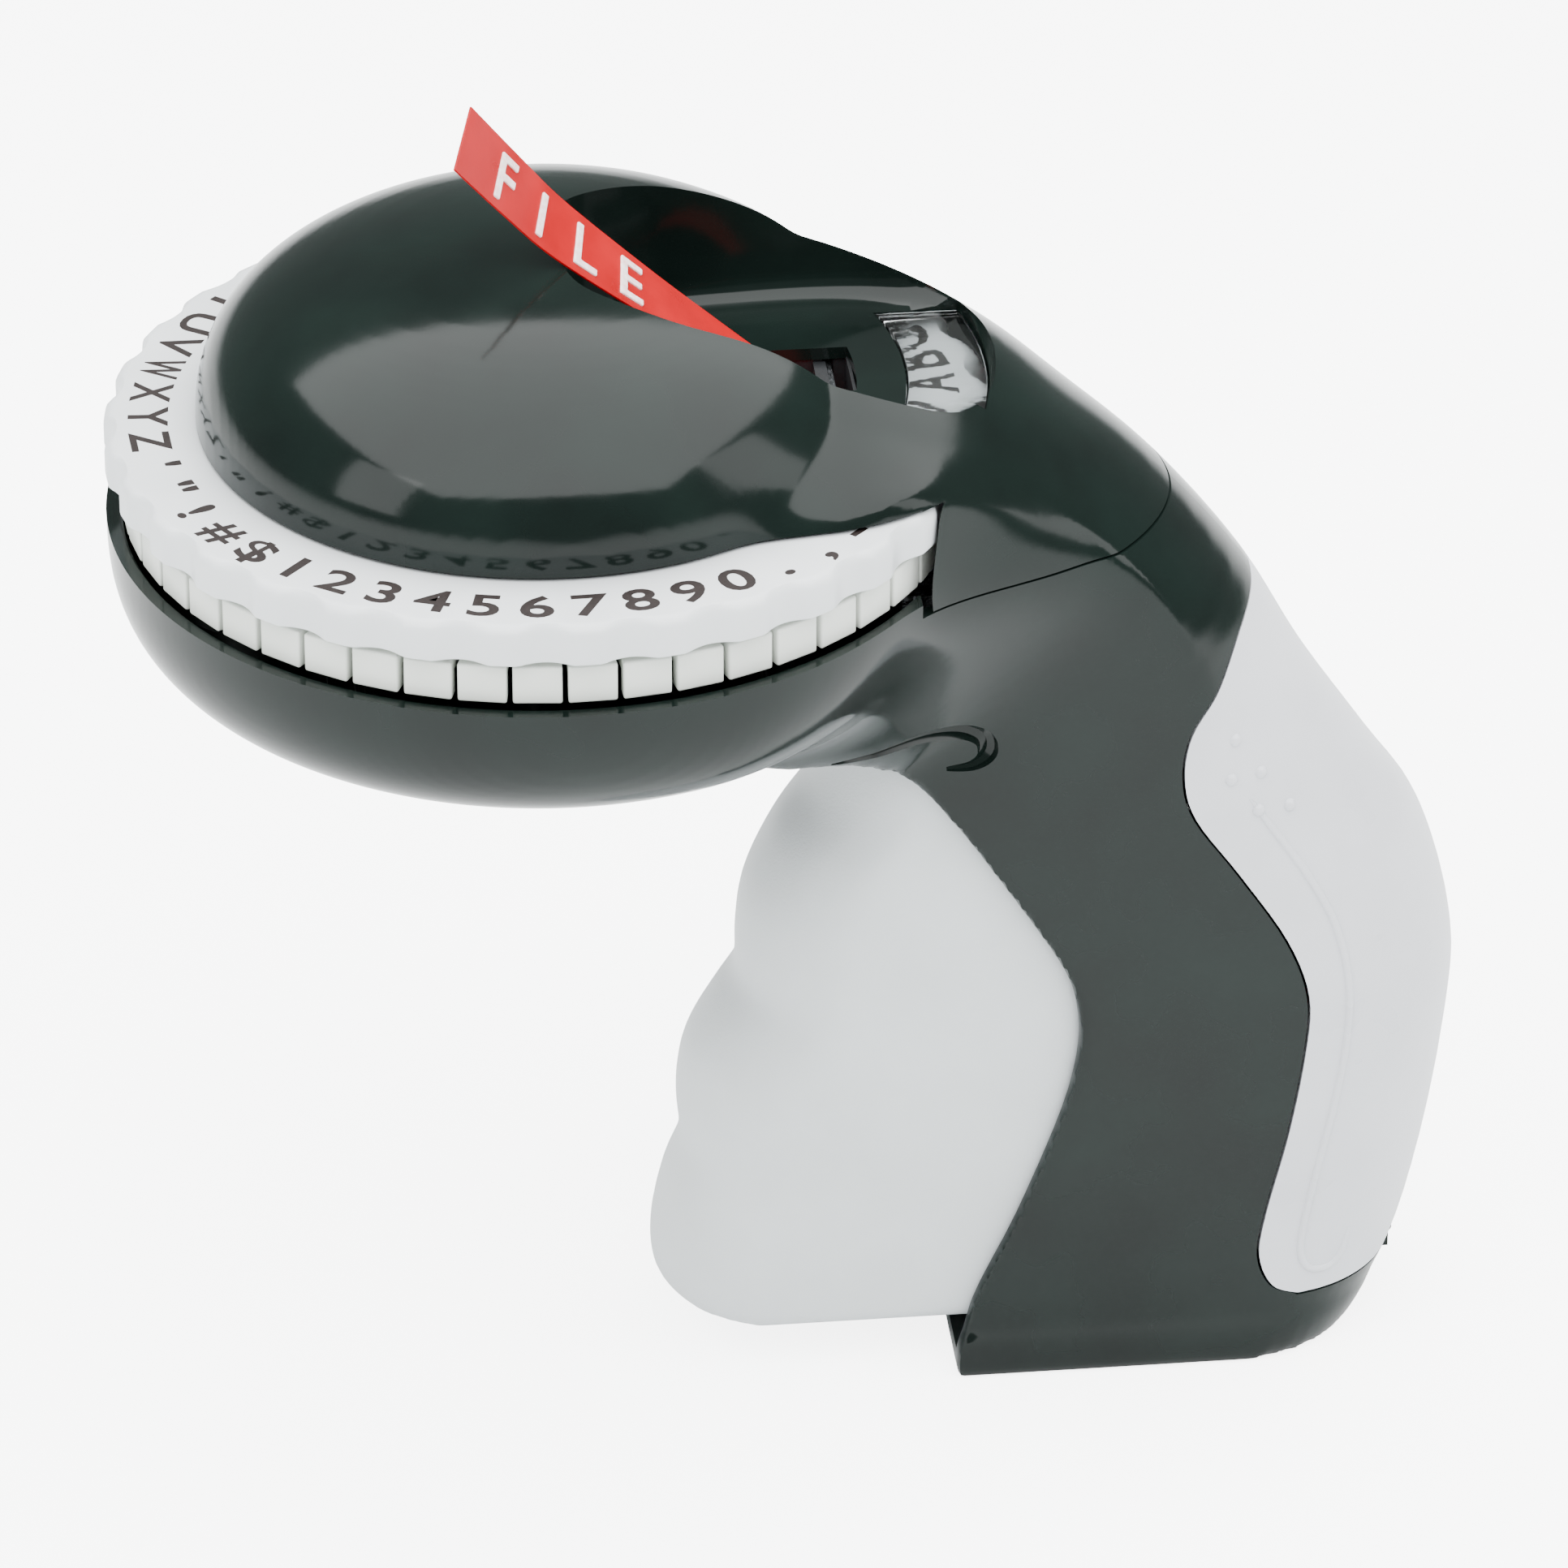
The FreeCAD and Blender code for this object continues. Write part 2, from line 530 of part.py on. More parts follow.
def trigger_shell():
    """Hollow finger grip, open towards the handle."""
    rows = [(7.2, -62.6, -22.0), (10.0, -64.3, -21.0), (15.6, -64.4, -19.4), (23.0, -62.8, -16.6),
            (28.5, -60.7, -14.6), (35.0, -61.1, -12.6), (42.0, -60.1, -11.0),
            (48.5, -56.6, -9.9), (53.5, -53.6, -10.0), (59.0, -53.4, -11.2),
            (66.0, -52.4, -14.8), (74.0, -48.8, -19.6), (81.0, -44.1, -24.0),
            (88.0, -41.8, -26.0)]

    def body(inset, low, high, reach):
        wires = []
        for z, front, rear in smoothed(rows, 2):
            level = low + (z - rows[0][0]) * (high - low) / (rows[-1][0] - rows[0][0])
            half = TRIGGER_HALF - inset
            tip, side, back = front + inset, front + 12.0, rear + reach
            face = Part.Arc(V(side, half, level), V(tip, 0, level), V(side, -half, level))
            edges = [face.toShape(), Part.makeLine(V(side, -half, level), V(back, -half, level)),
                     Part.makeLine(V(back, -half, level), V(back, half, level)),
                     Part.makeLine(V(back, half, level), V(side, half, level))]
            wires.append(Part.Wire(edges))
        return Part.makeLoft(wires, True, True)

    outer = body(0.0, rows[0][0], rows[-1][0], 0.0)
    inner = body(2.0, rows[0][0] + 1.4, rows[-1][0] - 1.4, 6.0)
    return largest(outer.cut(inner).cut(box(-41.0, -20, -7.6, 7.6, 80, 90)))


def trigger_spring():
    """Torsion spring round the trigger pin, one leg on the case and one on the lever."""
    px, pz = TRIGGER_PIVOT
    coils = [tube(px, pz, y, y + 0.9, 4.3, 3.3) for y in (-5.4, -4.4, -3.4)]
    spring = coils[0]
    for coil in coils[1:]:
        spring = spring.fuse(coil)
    bridge = box(px - 0.5, px + 0.5, -5.4, -2.5, pz + 3.4, pz + 4.3)
    leg = plate([(px, pz + 3.4), (-10.0, 102.9), (-10.0, 103.8), (px, pz + 4.3)], -5.4, -4.5)
    return spring.fuse(bridge).fuse(leg)


# ---------------------------------------------------------------- frame, pins and rollers
SPACER = (-12.0, 100.4)
FEED_AXIS = (-17.0, TAPE_Z - TAPE_T / 2 - 0.3 - 4.4)
FEED_R = 4.4
PINCH_R = 2.1
PINCH_AXIS = (-17.0, TAPE_Z + TAPE_T / 2 + 0.3 + PINCH_R)


def chassis(side):
    """Pressed steel side plate that carries the pivots."""
    outline = [(-31.0, 104.5), (-31.0, 97.5), (-22.0, 97.0), (-9.0, 97.6), (1.0, 97.0),
               (4.5, 103.0), (1.6, 114.5), (-6.0, 119.0), (-22.0, 110.0)]
    inner, outer = sorted((side * 9.4, side * 10.6))
    sheet = plate(outline, inner, outer)
    if side > 0:
        x = SPRING_AT[0]
        sheet = sheet.fuse(box(x - 2.4, x + 2.4, 4.2, 9.6, SPRING_HIGH, SPRING_HIGH + 1.0))
    for x, z in (TRIGGER_PIVOT, HAMMER_PIVOT):
        sheet = sheet.cut(pin(x, z, -20, 20, 2.0))
    return sheet.cut(pin(SPACER[0], SPACER[1], -20, 20, 1.5))


def chassis_spacer():
    """Turned spacer that ties the two side plates together."""
    return pin(*SPACER, -9.4, 9.4, 2.4).fuse(pin(*SPACER, -11.4, 11.4, 1.5))


def pivot_pin(axis):
    """Headed steel pin through both side plates."""
    return pin(*axis, -11.4, 11.4, 2.0).fuse(pin(*axis, -12.2, -11.4, 2.9))


def roller_bracket():
    """Moulded cheeks that carry the feed and pinch rollers."""
    cheek = plate([(-21.0, 119.2), (-13.0, 119.2), (-13.0, 128.4), (-15.6, 133.2),
                   (-18.4, 133.9), (-21.0, 133.9)], 6.6, 7.8)
    bridge = box(-21.0, -19.4, -7.8, 7.8, 118.0, 119.2)
    foot = box(-19.4, -13.0, -7.8, 7.8, 118.0, 119.2)
    both = mirrored(cheek)
    bracket = bridge.fuse(foot).fuse(both.Solids[0]).fuse(both.Solids[1])
    return bracket.cut(pin(*FEED_AXIS, -20, 20, 1.25)).cut(pin(*PINCH_AXIS, -20, 20, 0.85))


def feed_roller():
    """Rubber drive roller with fine grooves."""
    roller = pin(*FEED_AXIS, -5.4, 5.4, FEED_R)
    for i in range(24):
        angle = 2 * math.pi * i / 24
        x = FEED_AXIS[0] + (FEED_R + 0.15) * math.cos(angle)
        z = FEED_AXIS[1] + (FEED_R + 0.15) * math.sin(angle)
        roller = roller.cut(pin(x, z, -6, 6, 0.35))
    return roller.cut(pin(*FEED_AXIS, -6, 6, 1.2))


def feed_axle():
    return pin(*FEED_AXIS, -8.4, 8.4, 1.2)


def ratchet_wheel():
    """Toothed wheel on the feed axle that the trigger steps round."""
    blank = pin(*FEED_AXIS, 5.5, 6.4, 3.4)
    for i in range(12):
        angle = 2 * math.pi * i / 12
        x = FEED_AXIS[0] + 3.6 * math.cos(angle)
        z = FEED_AXIS[1] + 3.6 * math.sin(angle)
        blank = blank.cut(pin(x, z, 5, 7, 0.55))
    return blank.cut(pin(*FEED_AXIS, 5, 7, 1.2))


def pinch_roller():
    return pin(*PINCH_AXIS, -5.2, 5.2, PINCH_R).fuse(pin(*PINCH_AXIS, -8.2, 8.2, 0.8))


def tape_wall():
    """Partition between the trigger space and the tape chamber."""
    path = [(1.6, 83.4), (1.6, 44.0), (11.0, 30.0), (11.0, 11.0)]
    return strip(path, 1.2, -15.3, 15.3)


def roll_spindle():
    """Post in the tape chamber, on an arm from the partition."""
    x, z = ROLL_AXIS
    post_and_collar = pin(x, z, -9.4, 6.6, 3.6).fuse(pin(x, z, -9.4, -6.4, 6.0))
    arm = plate([(2.2, z - 8), (x, z - 6), (x, z + 6), (2.2, z + 8)], -9.4, -7.4)
    return post_and_collar.fuse(arm)


def tape_spool():
    core = tube(*ROLL_AXIS, -5.6, 5.6, 6.4, 3.7)
    flange = tube(*ROLL_AXIS, -5.9, -5.1, 11.0, 3.7)
    return core.fuse(flange)


def tape_roll():
    return tube(*ROLL_AXIS, -TAPE_W / 2, TAPE_W / 2, ROLL_R, 6.4)


def main():
    left, right = case_halves()
    pieces = {
        "body_left": left,
        "body_right": right,
        "top_cover": largest(top_cover()),
        "window_lens": window_lens(),
        "back_cover": back_cover(),
        "case_screws": case_screws(),
        "dial_ring": dial_ring(),
        "upper_die_ring": upper_die_ring(),
        "finger_wheel": finger_wheel(),
        "dial_hub": dial_hub(),
        "detent_wheel": detent_wheel(),
        "detent_spring": detent_spring(),
        "dial_spindle": dial_spindle(),
        "spindle_clip": spindle_clip(),
        "anvil": anvil(),
        "cutter_guide": cutter_guide(),
        "cutter_blade": cutter_blade(),
        "blade_holder": blade_holder(),
        "tape_strip": tape_strip(),
        "tape_guide": tape_guide(),
        "hammer_lever": hammer_lever(),
        "hammer_head": hammer_head(),
        "hammer_spring": hammer_spring(),
        "trigger_lever": trigger_lever(),
        "trigger_shell": trigger_shell(),
        "trigger_spring": trigger_spring(),
        "chassis_left": chassis(-1),
        "chassis_right": chassis(1),
        "chassis_spacer": chassis_spacer(),
        "trigger_pin": pivot_pin(TRIGGER_PIVOT),
        "hammer_pin": pivot_pin(HAMMER_PIVOT),
        "roller_bracket": roller_bracket(),
        "feed_roller": feed_roller(),
        "feed_axle": feed_axle(),
        "ratchet_wheel": ratchet_wheel(),
        "pinch_roller": pinch_roller(),
        "tape_wall": tape_wall(),
        "roll_spindle": roll_spindle(),
        "hinge_pin": hinge_pin(),
        "tape_spool": tape_spool(),
        "tape_roll": tape_roll(),
    }
    for name, shape in pieces.items():
        print(name, shape.isValid(), len(shape.Solids), round(shape.Volume))
        save(shape, name)


main()
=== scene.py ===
"""Looks of the hand-held embossing label maker, in metres, in the frame of its CAD model."""
import bpy
import bmesh
import math
from mathutils import Matrix, Vector


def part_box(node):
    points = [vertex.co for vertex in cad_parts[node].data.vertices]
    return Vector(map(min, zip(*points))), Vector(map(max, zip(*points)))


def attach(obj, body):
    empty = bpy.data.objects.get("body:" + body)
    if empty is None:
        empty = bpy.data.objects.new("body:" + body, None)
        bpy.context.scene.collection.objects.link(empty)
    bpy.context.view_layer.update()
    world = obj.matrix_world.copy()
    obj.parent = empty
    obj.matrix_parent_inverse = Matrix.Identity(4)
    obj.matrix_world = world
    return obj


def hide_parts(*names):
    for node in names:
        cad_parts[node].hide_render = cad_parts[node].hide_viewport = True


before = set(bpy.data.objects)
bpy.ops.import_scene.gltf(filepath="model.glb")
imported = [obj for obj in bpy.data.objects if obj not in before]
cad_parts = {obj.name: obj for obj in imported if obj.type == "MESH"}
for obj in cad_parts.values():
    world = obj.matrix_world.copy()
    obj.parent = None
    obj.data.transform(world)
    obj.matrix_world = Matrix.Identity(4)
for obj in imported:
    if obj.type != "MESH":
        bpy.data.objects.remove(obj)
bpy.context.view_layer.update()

MM = 0.001

# ---------------------------------------------------------------- places, from the CAD nodes
ring_low, ring_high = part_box("dial_ring")
DIAL_X = (ring_low[0] + ring_high[0]) / 2
DIAL_R = (ring_high[0] - ring_low[0]) / 2
RING_TOP = ring_high[2]
wheel_low, wheel_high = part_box("finger_wheel")
WHEEL_Z = wheel_low[2]
WHEEL_TOP = wheel_high[2]
FINGER_R = (wheel_high[0] - wheel_low[0]) / 2
lens_low, lens_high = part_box("window_lens")
SCOOP_FLOOR = lens_high[2]

DISH_R = 54.0 * MM
DISH_RIM = WHEEL_Z - 0.6 * MM
DISH_DEPTH = 24.2 * MM
DOME_R = 42.6 * MM
DOME_BASE = RING_TOP + 0.8 * MM
DOME_TOP = 159.4 * MM
BOWL_POWER = 3.0           # the bowl's profile is squarer than the dome's
DOME_POWER = 2.3
PARTING = 122.0 * MM       # height of the joint line over the neck
WALL = 2.0 * MM
LENS_R = (44.8 * MM, 55.0 * MM)   # inner and outer circle of the window


# ---------------------------------------------------------------- modelling helpers
def clear_selection():
    if bpy.context.object and bpy.context.object.mode != "OBJECT":
        bpy.ops.object.mode_set(mode="OBJECT")
    bpy.ops.object.select_all(action="DESELECT")


def pick(*pieces):
    """Select these pieces alone, with the first one active."""
    clear_selection()
    for piece in pieces:
        piece.select_set(True)
    bpy.context.view_layer.objects.active = pieces[0]


def settle(obj):
    """Bring an object's place and turn into its mesh."""
    pick(obj)
    bpy.ops.object.transform_apply(location=True, rotation=True, scale=True)
    return obj


def apply_modifier(obj, kind, **settings):
    """Add one modifier with its settings and apply it."""
    pick(obj)
    modifier = obj.modifiers.new(kind.title(), kind)
    for name, value in settings.items():
        setattr(modifier, name, value)
    bpy.ops.object.modifier_apply(modifier=modifier.name)
    return obj


def combine(obj, other, how):
    """Boolean of two closed pieces; the second one is used up."""
    apply_modifier(obj, "BOOLEAN", object=other, operation=how, solver="EXACT")
    bpy.data.objects.remove(other, do_unlink=True)
    return obj


def duplicate(obj, name):
    copy = obj.copy()
    copy.data = obj.data.copy()
    copy.name = name
    bpy.context.collection.objects.link(copy)
    return copy


def named(name):
    """The object that an operator has just made, renamed."""
    obj = bpy.context.object
    obj.name = name
    obj.data.name = name
    return obj


def joined(name, pieces):
    """One object out of several; the first one takes the others in."""
    pick(*pieces)
    bpy.ops.object.join()
    return named(name)


def smooth_faces(obj, degrees):
    """Smooth shading with edges sharper than so many degrees kept crisp."""
    pick(obj)
    bpy.ops.object.shade_smooth_by_angle(angle=math.radians(degrees))
    return obj


def glossy(obj):
    """Smooth shading whose highlights follow the large faces, as polish needs."""
    smooth_faces(obj, 40)
    return apply_modifier(obj, "WEIGHTED_NORMAL", keep_sharp=True)


def edit(obj):
    """Open a mesh in edit mode with all its edges selected."""
    pick(obj)
    bpy.ops.object.mode_set(mode="EDIT")
    bpy.ops.mesh.select_mode(type="EDGE")
    bpy.ops.mesh.select_all(action="SELECT")


def close_up():
    """Fill the open ends of the mesh in edit mode, turn its faces outwards and leave the mode."""
    bpy.ops.mesh.select_all(action="DESELECT")
    bpy.ops.mesh.select_non_manifold()
    bpy.ops.mesh.fill_holes(sides=0)
    bpy.ops.mesh.select_all(action="SELECT")
    bpy.ops.mesh.normals_make_consistent(inside=False)
    bpy.ops.object.mode_set(mode="OBJECT")


def block(name, low, high):
    """Rectangular block between two corners."""
    clear_selection()
    middle = [(a + b) / 2 for a, b in zip(low, high)]
    bpy.ops.mesh.primitive_cube_add(size=1.0, location=middle)
    obj = named(name)
    obj.scale = [b - a for a, b in zip(low, high)]
    return settle(obj)


def drum(name, radius, low, high, steps=256):
    """Upright cylinder about the dial axis."""
    clear_selection()
    bpy.ops.mesh.primitive_cylinder_add(vertices=steps, radius=radius, depth=high - low,
                                        location=(DIAL_X, 0, (low + high) / 2))
    return settle(named(name))


def outline_loop(points):
    """One closed loop of edges: a circle primitive whose points are set out one by one."""
    clear_selection()
    bpy.ops.mesh.primitive_circle_add(vertices=len(points), radius=0.01)
    obj = bpy.context.object
    for vertex, point in zip(obj.data.vertices, points):
        vertex.co = point
    return obj


def bridged(name, loops):
    """Closed body through a row of loops with equal counts."""
    obj = joined(name, [outline_loop(points) for points in loops])
    edit(obj)
    bpy.ops.mesh.bridge_edge_loops()
    close_up()
    return obj


def spun(name, profile, steps=192):
    """Solid of revolution about the dial axis from (radius, z) points."""
    clear_selection()
    bpy.ops.mesh.primitive_circle_add(vertices=3, radius=0.01)
    obj = named(name)
    mesh = bmesh.new()
    row = [mesh.verts.new((DIAL_X + r, 0, z)) for r, z in profile]
    for a, b in zip(row, row[1:]):
        mesh.edges.new((a, b))
    mesh.to_mesh(obj.data)
    mesh.free()
    edit(obj)
    bpy.ops.mesh.spin(steps=steps, angle=2 * math.pi, center=(DIAL_X, 0, 0), axis=(0, 0, 1))
    bpy.ops.mesh.select_all(action="SELECT")
    bpy.ops.mesh.remove_doubles(threshold=1e-6)
    close_up()
    return obj


def bulged(radius, z_edge, z_pole, power, steps=40):
    """Superellipse profile from the edge circle to the pole."""
    points = []
    for i in range(steps + 1):
        angle = math.pi / 2 * i / steps
        r = radius * max(math.cos(angle), 0.0) ** (2 / power)
        points.append((r if i < steps else 0.0,
                       z_edge + (z_pole - z_edge) * math.sin(angle) ** (2 / power)))
    return points


# ---------------------------------------------------------------- neck and handle outline
# Sections that fan round the bend: inner point, outer point and half width at the foot, then
# (share of the way out, half width) at the joint line, the skirt and the shoulder, millimetres.
STATIONS = [
    ((-64.0, 102.6), (-64.0, 157.6), 26.0, (0.36, 36.0), (0.63, 36.0), (0.84, 24.6)),
    ((-52.0, 98.6), (-46.0, 154.0), 29.5, (0.43, 35.6), (0.70, 36.2), (0.85, 24.6)),
    ((-45.0, 96.8), (-32.0, 148.0), 27.0, (0.50, 33.6), (0.80, 32.0), (0.875, 23.0)),
    ((-40.5, 95.0), (-20.0, 140.8), 24.0, (0.60, 29.6), (0.826, 25.0), (0.893, 20.4)),
    ((-37.0, 92.6), (-10.2, 132.6), 20.2, (0.73, 25.0), (0.80, 22.6), (0.88, 19.6)),
    ((-33.8, 90.2), (0.6, 122.7), 17.2, (0.68, 20.4), (0.77, 20.0), (0.85, 19.5)),
    ((-27.8, 83.4), (11.1, 109.6), 17.2, (0.55, 18.6), (0.68, 18.8), (0.80, 18.8)),
    ((-20.2, 72.0), (18.9, 95.9), 17.3, (0.40, 17.8), (0.54, 18.1), (0.68, 18.2)),
    ((-13.3, 60.5), (27.6, 82.8), 17.3, (0.35, 17.7), (0.50, 17.8), (0.64, 17.9)),
    ((-11.4, 54.0), (34.4, 72.3), 17.4, (0.35, 17.6), (0.50, 17.7), (0.65, 17.7)),
    ((-11.3, 48.0), (38.7, 56.0), 17.4, (0.35, 17.5), (0.50, 17.6), (0.66, 17.6)),
    ((-13.2, 39.0), (38.3, 42.0), 17.4, (0.35, 17.5), (0.50, 17.5), (0.67, 17.5)),
    ((-18.8, 23.5), (35.8, 24.4), 17.4, (0.35, 17.5), (0.50, 17.5), (0.69, 17.5)),
    ((-24.6, 10.0), (32.2, 9.8), 17.5, (0.35, 17.6), (0.50, 17.6), (0.70, 17.5)),
    ((-26.0, 0.0), (27.0, 0.0), 17.7, (0.35, 17.8), (0.50, 17.8), (0.68, 17.7)),
]


def between(a, b, c, d, t):
    """Smooth value a share t of the way from b to c, with a and d as their outer neighbours."""
    slope_b, slope_c = (c - a) / 2, (d - b) / 2
    bulge = 3 * (c - b) - 2 * slope_b - slope_c
    return b + slope_b * t + bulge * t * t + (slope_b + slope_c - 2 * (c - b)) * t ** 3


def smoothed(rows, parts):
    """The same rows of numbers with smooth rows added between them."""
    fine = []
    for i in range(len(rows) - 1):
        four = [rows[max(i - 1, 0)], rows[i], rows[i + 1], rows[min(i + 2, len(rows) - 1)]]
        for k in range(parts):
            fine.append([between(*values, k / parts) for values in zip(*four)])
    fine.append(list(rows[-1]))
    return fine


def crown(side, tip, half, steps):
    """Points (distance, y) of the circular arc from (side, -half) over (tip, 0)."""
    depth = tip - side
    radius = (half * half + depth * depth) / (2 * depth)
    middle = tip - radius
    reach = math.atan2(half, side - middle)
    return [(middle + radius * math.cos(a), radius * math.sin(a))
            for a in (reach * (2 * i / steps - 1) for i in range(steps + 1))]


def station_loop(row, inset):
    """Outline of one section in metres, drawn in by the wall thickness."""
    bx, bz, cx, cz, foot = row[:5]
    length = math.hypot(cx - bx, cz - bz)
    ux, uz = (cx - bx) / length, (cz - bz) / length
    corners = [(inset, foot - inset)]
    for share, half in (row[5:7], row[7:9], row[9:11]):
        corners.append((share * length, half - inset))
    side = []
    for (d0, w0), (d1, w1) in zip(corners, corners[1:]):
        side += [(d0 + (d1 - d0) * k / 4, w0 + (w1 - w0) * k / 4) for k in range(4)]
    arc = crown(corners[-1][0], length - inset, corners[-1][1], 20)
    floor = [(inset, (foot - inset) * (1 - k / 3)) for k in range(1, 6)]
    flat = [(d, -w) for d, w in side] + arc + [(d, w) for d, w in side[::-1]] + floor
    return [((bx + ux * d) * MM, y * MM, (bz + uz * d) * MM) for d, y in flat]


def neck_body(name, inset):
    rows = smoothed([[*a, *b, f, *j, *k, *s] for a, b, f, j, k, s in STATIONS], 4)
    return bridged(name, [station_loop(row, inset) for row in rows])


# ---------------------------------------------------------------- scoop outline
SCOOP = [(-75.5, 0.0), (-74.8, 6.5), (-71.6, 12.4), (-62.0, 17.8), (-51.0, 19.2), (-41.0, 19.5),
         (-33.0, 18.6), (-26.4, 16.2), (-22.2, 9.8), (-20.8, 0.0)]
SCOOP_MIDDLE = -48.0
SCOOP_HALF = (27.0, 18.0)  # about half its length and width


def scoop_loop(margin, z):
    """The scoop's outline at one height, made larger by a margin, in metres."""
    half = [(x, y) for x, y in SCOOP] + [(x, -y) for x, y in SCOOP[-2:0:-1]]
    closed = half[-1:] + half + half[:2]
    points = []
    for i in range(1, len(closed) - 2):
        for k in range(6):
            x, y = [between(*values, k / 6) for values in zip(*closed[i - 1:i + 3])]
            points.append(((x + margin * (x - SCOOP_MIDDLE) / SCOOP_HALF[0]) * MM,
                           (y + margin * y / SCOOP_HALF[1]) * MM, z))
    return points


def scoop_body(name, margin, floor):
    levels = [(-3.2, 0.0), (-1.4, 0.5), (-0.4, 1.6), (0.0, 3.6), (0.0, 12.0), (0.0, 40.0)]
    return bridged(name, [scoop_loop(margin + m, floor + h * MM) for m, h in levels])


# ---------------------------------------------------------------- materials
def linear(hex_colour):
    """sRGB hex colour as the linear values that a shader takes."""
    channels = [int(hex_colour[i:i + 2], 16) / 255 for i in (1, 3, 5)]
    return (*[c / 12.92 if c <= 0.04045 else ((c + 0.055) / 1.055) ** 2.4 for c in channels], 1.0)


def add(tree, kind, **sockets):
    """Add a node; values go to its inputs, outputs are linked, and other words are settings."""
    node = tree.nodes.new("ShaderNode" + kind)
    for name, value in sockets.items():
        if hasattr(node, name) and name.islower():
            setattr(node, name, value)
            continue
        socket = node.inputs[name.replace("_", " ")]
        if isinstance(value, bpy.types.NodeSocket):
            tree.links.new(value, socket)
        else:
            socket.default_value = value
    return node


def new_material(name, **shader):
    """Material with a Principled shader and the position of each point in millimetres."""
    material = bpy.data.materials.new(name)
    material.use_nodes = True
    tree = material.node_tree
    principled = tree.nodes["Principled BSDF"]
    for socket, value in shader.items():
        principled.inputs[socket.replace("_", " ")].default_value = value
    place = add(tree, "TexCoord")
    in_mm = add(tree, "VectorMath", operation="SCALE")
    tree.links.new(place.outputs["Object"], in_mm.inputs[0])
    in_mm.inputs["Scale"].default_value = 1000.0
    return material, tree, principled, in_mm.outputs[0]


def noise(tree, position, grain_mm, detail=3.0, rough=0.5):
    """Noise whose lumps are about grain_mm across."""
    return add(tree, "TexNoise", Vector=position, Scale=1.0 / grain_mm, Detail=detail,
               Roughness=rough).outputs["Fac"]


def spread(tree, factor, low, high, start=0.3, end=0.7):
    """Map a 0..1 factor to a range of plain values."""
    ramp = add(tree, "MapRange", Value=factor)
    ramp.inputs["From Min"].default_value = start
    ramp.inputs["From Max"].default_value = end
    ramp.inputs["To Min"].default_value = low
    ramp.inputs["To Max"].default_value = high
    return ramp.outputs[0]


def tinted(tree, factor, dark, light):
    ramp = add(tree, "ValToRGB", Fac=factor)
    ramp.color_ramp.elements[0].position = 0.3
    ramp.color_ramp.elements[0].color = linear(dark)
    ramp.color_ramp.elements[1].position = 0.7
    ramp.color_ramp.elements[1].color = linear(light)
    return ramp.outputs["Color"]


def bumped(tree, principled, height, depth_mm, strength=1.0):
    """Relief of a real depth on a factor of 0..1."""
    bump = add(tree, "Bump", Height=height, Strength=strength, Distance=depth_mm * MM)
    tree.links.new(bump.outputs[0], principled.inputs["Normal"])
    return bump


def moulded(name, dark, light, roughness, grain_mm, depth_mm, specular=0.5):
    """Injection moulded plastic: even colour, a fine skin texture and a little uneven gloss."""
    material, tree, principled, mm = new_material(name, IOR=1.53, Specular_IOR_Level=specular)
    clouds = noise(tree, mm, 18.0)
    tree.links.new(tinted(tree, clouds, dark, light), principled.inputs["Base Color"])
    skin = noise(tree, mm, grain_mm, 2.0)
    tree.links.new(spread(tree, clouds, roughness * 0.85, roughness * 1.2),
                   principled.inputs["Roughness"])
    bumped(tree, principled, skin, depth_mm)
    return material


def metal(name, dark, light, roughness, grain_mm, stretch):
    """Drawn or pressed steel with fine lines along one direction."""
    material, tree, principled, mm = new_material(name, Metallic=1.0)
    lines = add(tree, "VectorMath", operation="MULTIPLY")
    tree.links.new(mm, lines.inputs[0])
    lines.inputs[1].default_value = stretch
    streaks = noise(tree, lines.outputs[0], grain_mm, 4.0, 0.6)
    tree.links.new(tinted(tree, streaks, dark, light), principled.inputs["Base Color"])
    tree.links.new(spread(tree, streaks, roughness * 0.7, roughness * 1.3),
                   principled.inputs["Roughness"])
    bumped(tree, principled, streaks, 0.004)
    return material


def clear_polycarbonate():
    """Moulded window: clear, a touch grey, with faint flow marks."""
    material, tree, principled, mm = new_material(
        "clear_polycarbonate", IOR=1.585, Transmission_Weight=1.0,
        Base_Color=linear("#f2f5f5"))
    flow = noise(tree, mm, 2.4, 2.0)
    tree.links.new(spread(tree, flow, 0.02, 0.07), principled.inputs["Roughness"])
    bumped(tree, principled, flow, 0.03)
    return material


def embossing_vinyl():
    """Glossy red embossing tape, with fine lines along the roll."""
    material, tree, principled, mm = new_material(
        "red_embossing_vinyl", IOR=1.54, Specular_IOR_Level=0.3)
    cloud = noise(tree, mm, 6.0)
    tree.links.new(tinted(tree, cloud, "#9e0009", "#ae000c"), principled.inputs["Base Color"])
    tree.links.new(spread(tree, cloud, 0.26, 0.36), principled.inputs["Roughness"])
    bumped(tree, principled, noise(tree, mm, 0.5), 0.006)
    return material


def stress_white():
    """Vinyl whitened where the die has stretched it."""
    material, tree, principled, mm = new_material("stress_whitened_vinyl", IOR=1.5)
    patchy = noise(tree, mm, 0.7, 4.0)
    tree.links.new(tinted(tree, patchy, "#f3c9c9", "#fbf4f3"), principled.inputs["Base Color"])
    tree.links.new(spread(tree, patchy, 0.4, 0.6), principled.inputs["Roughness"])
    bumped(tree, principled, patchy, 0.02)
    return material


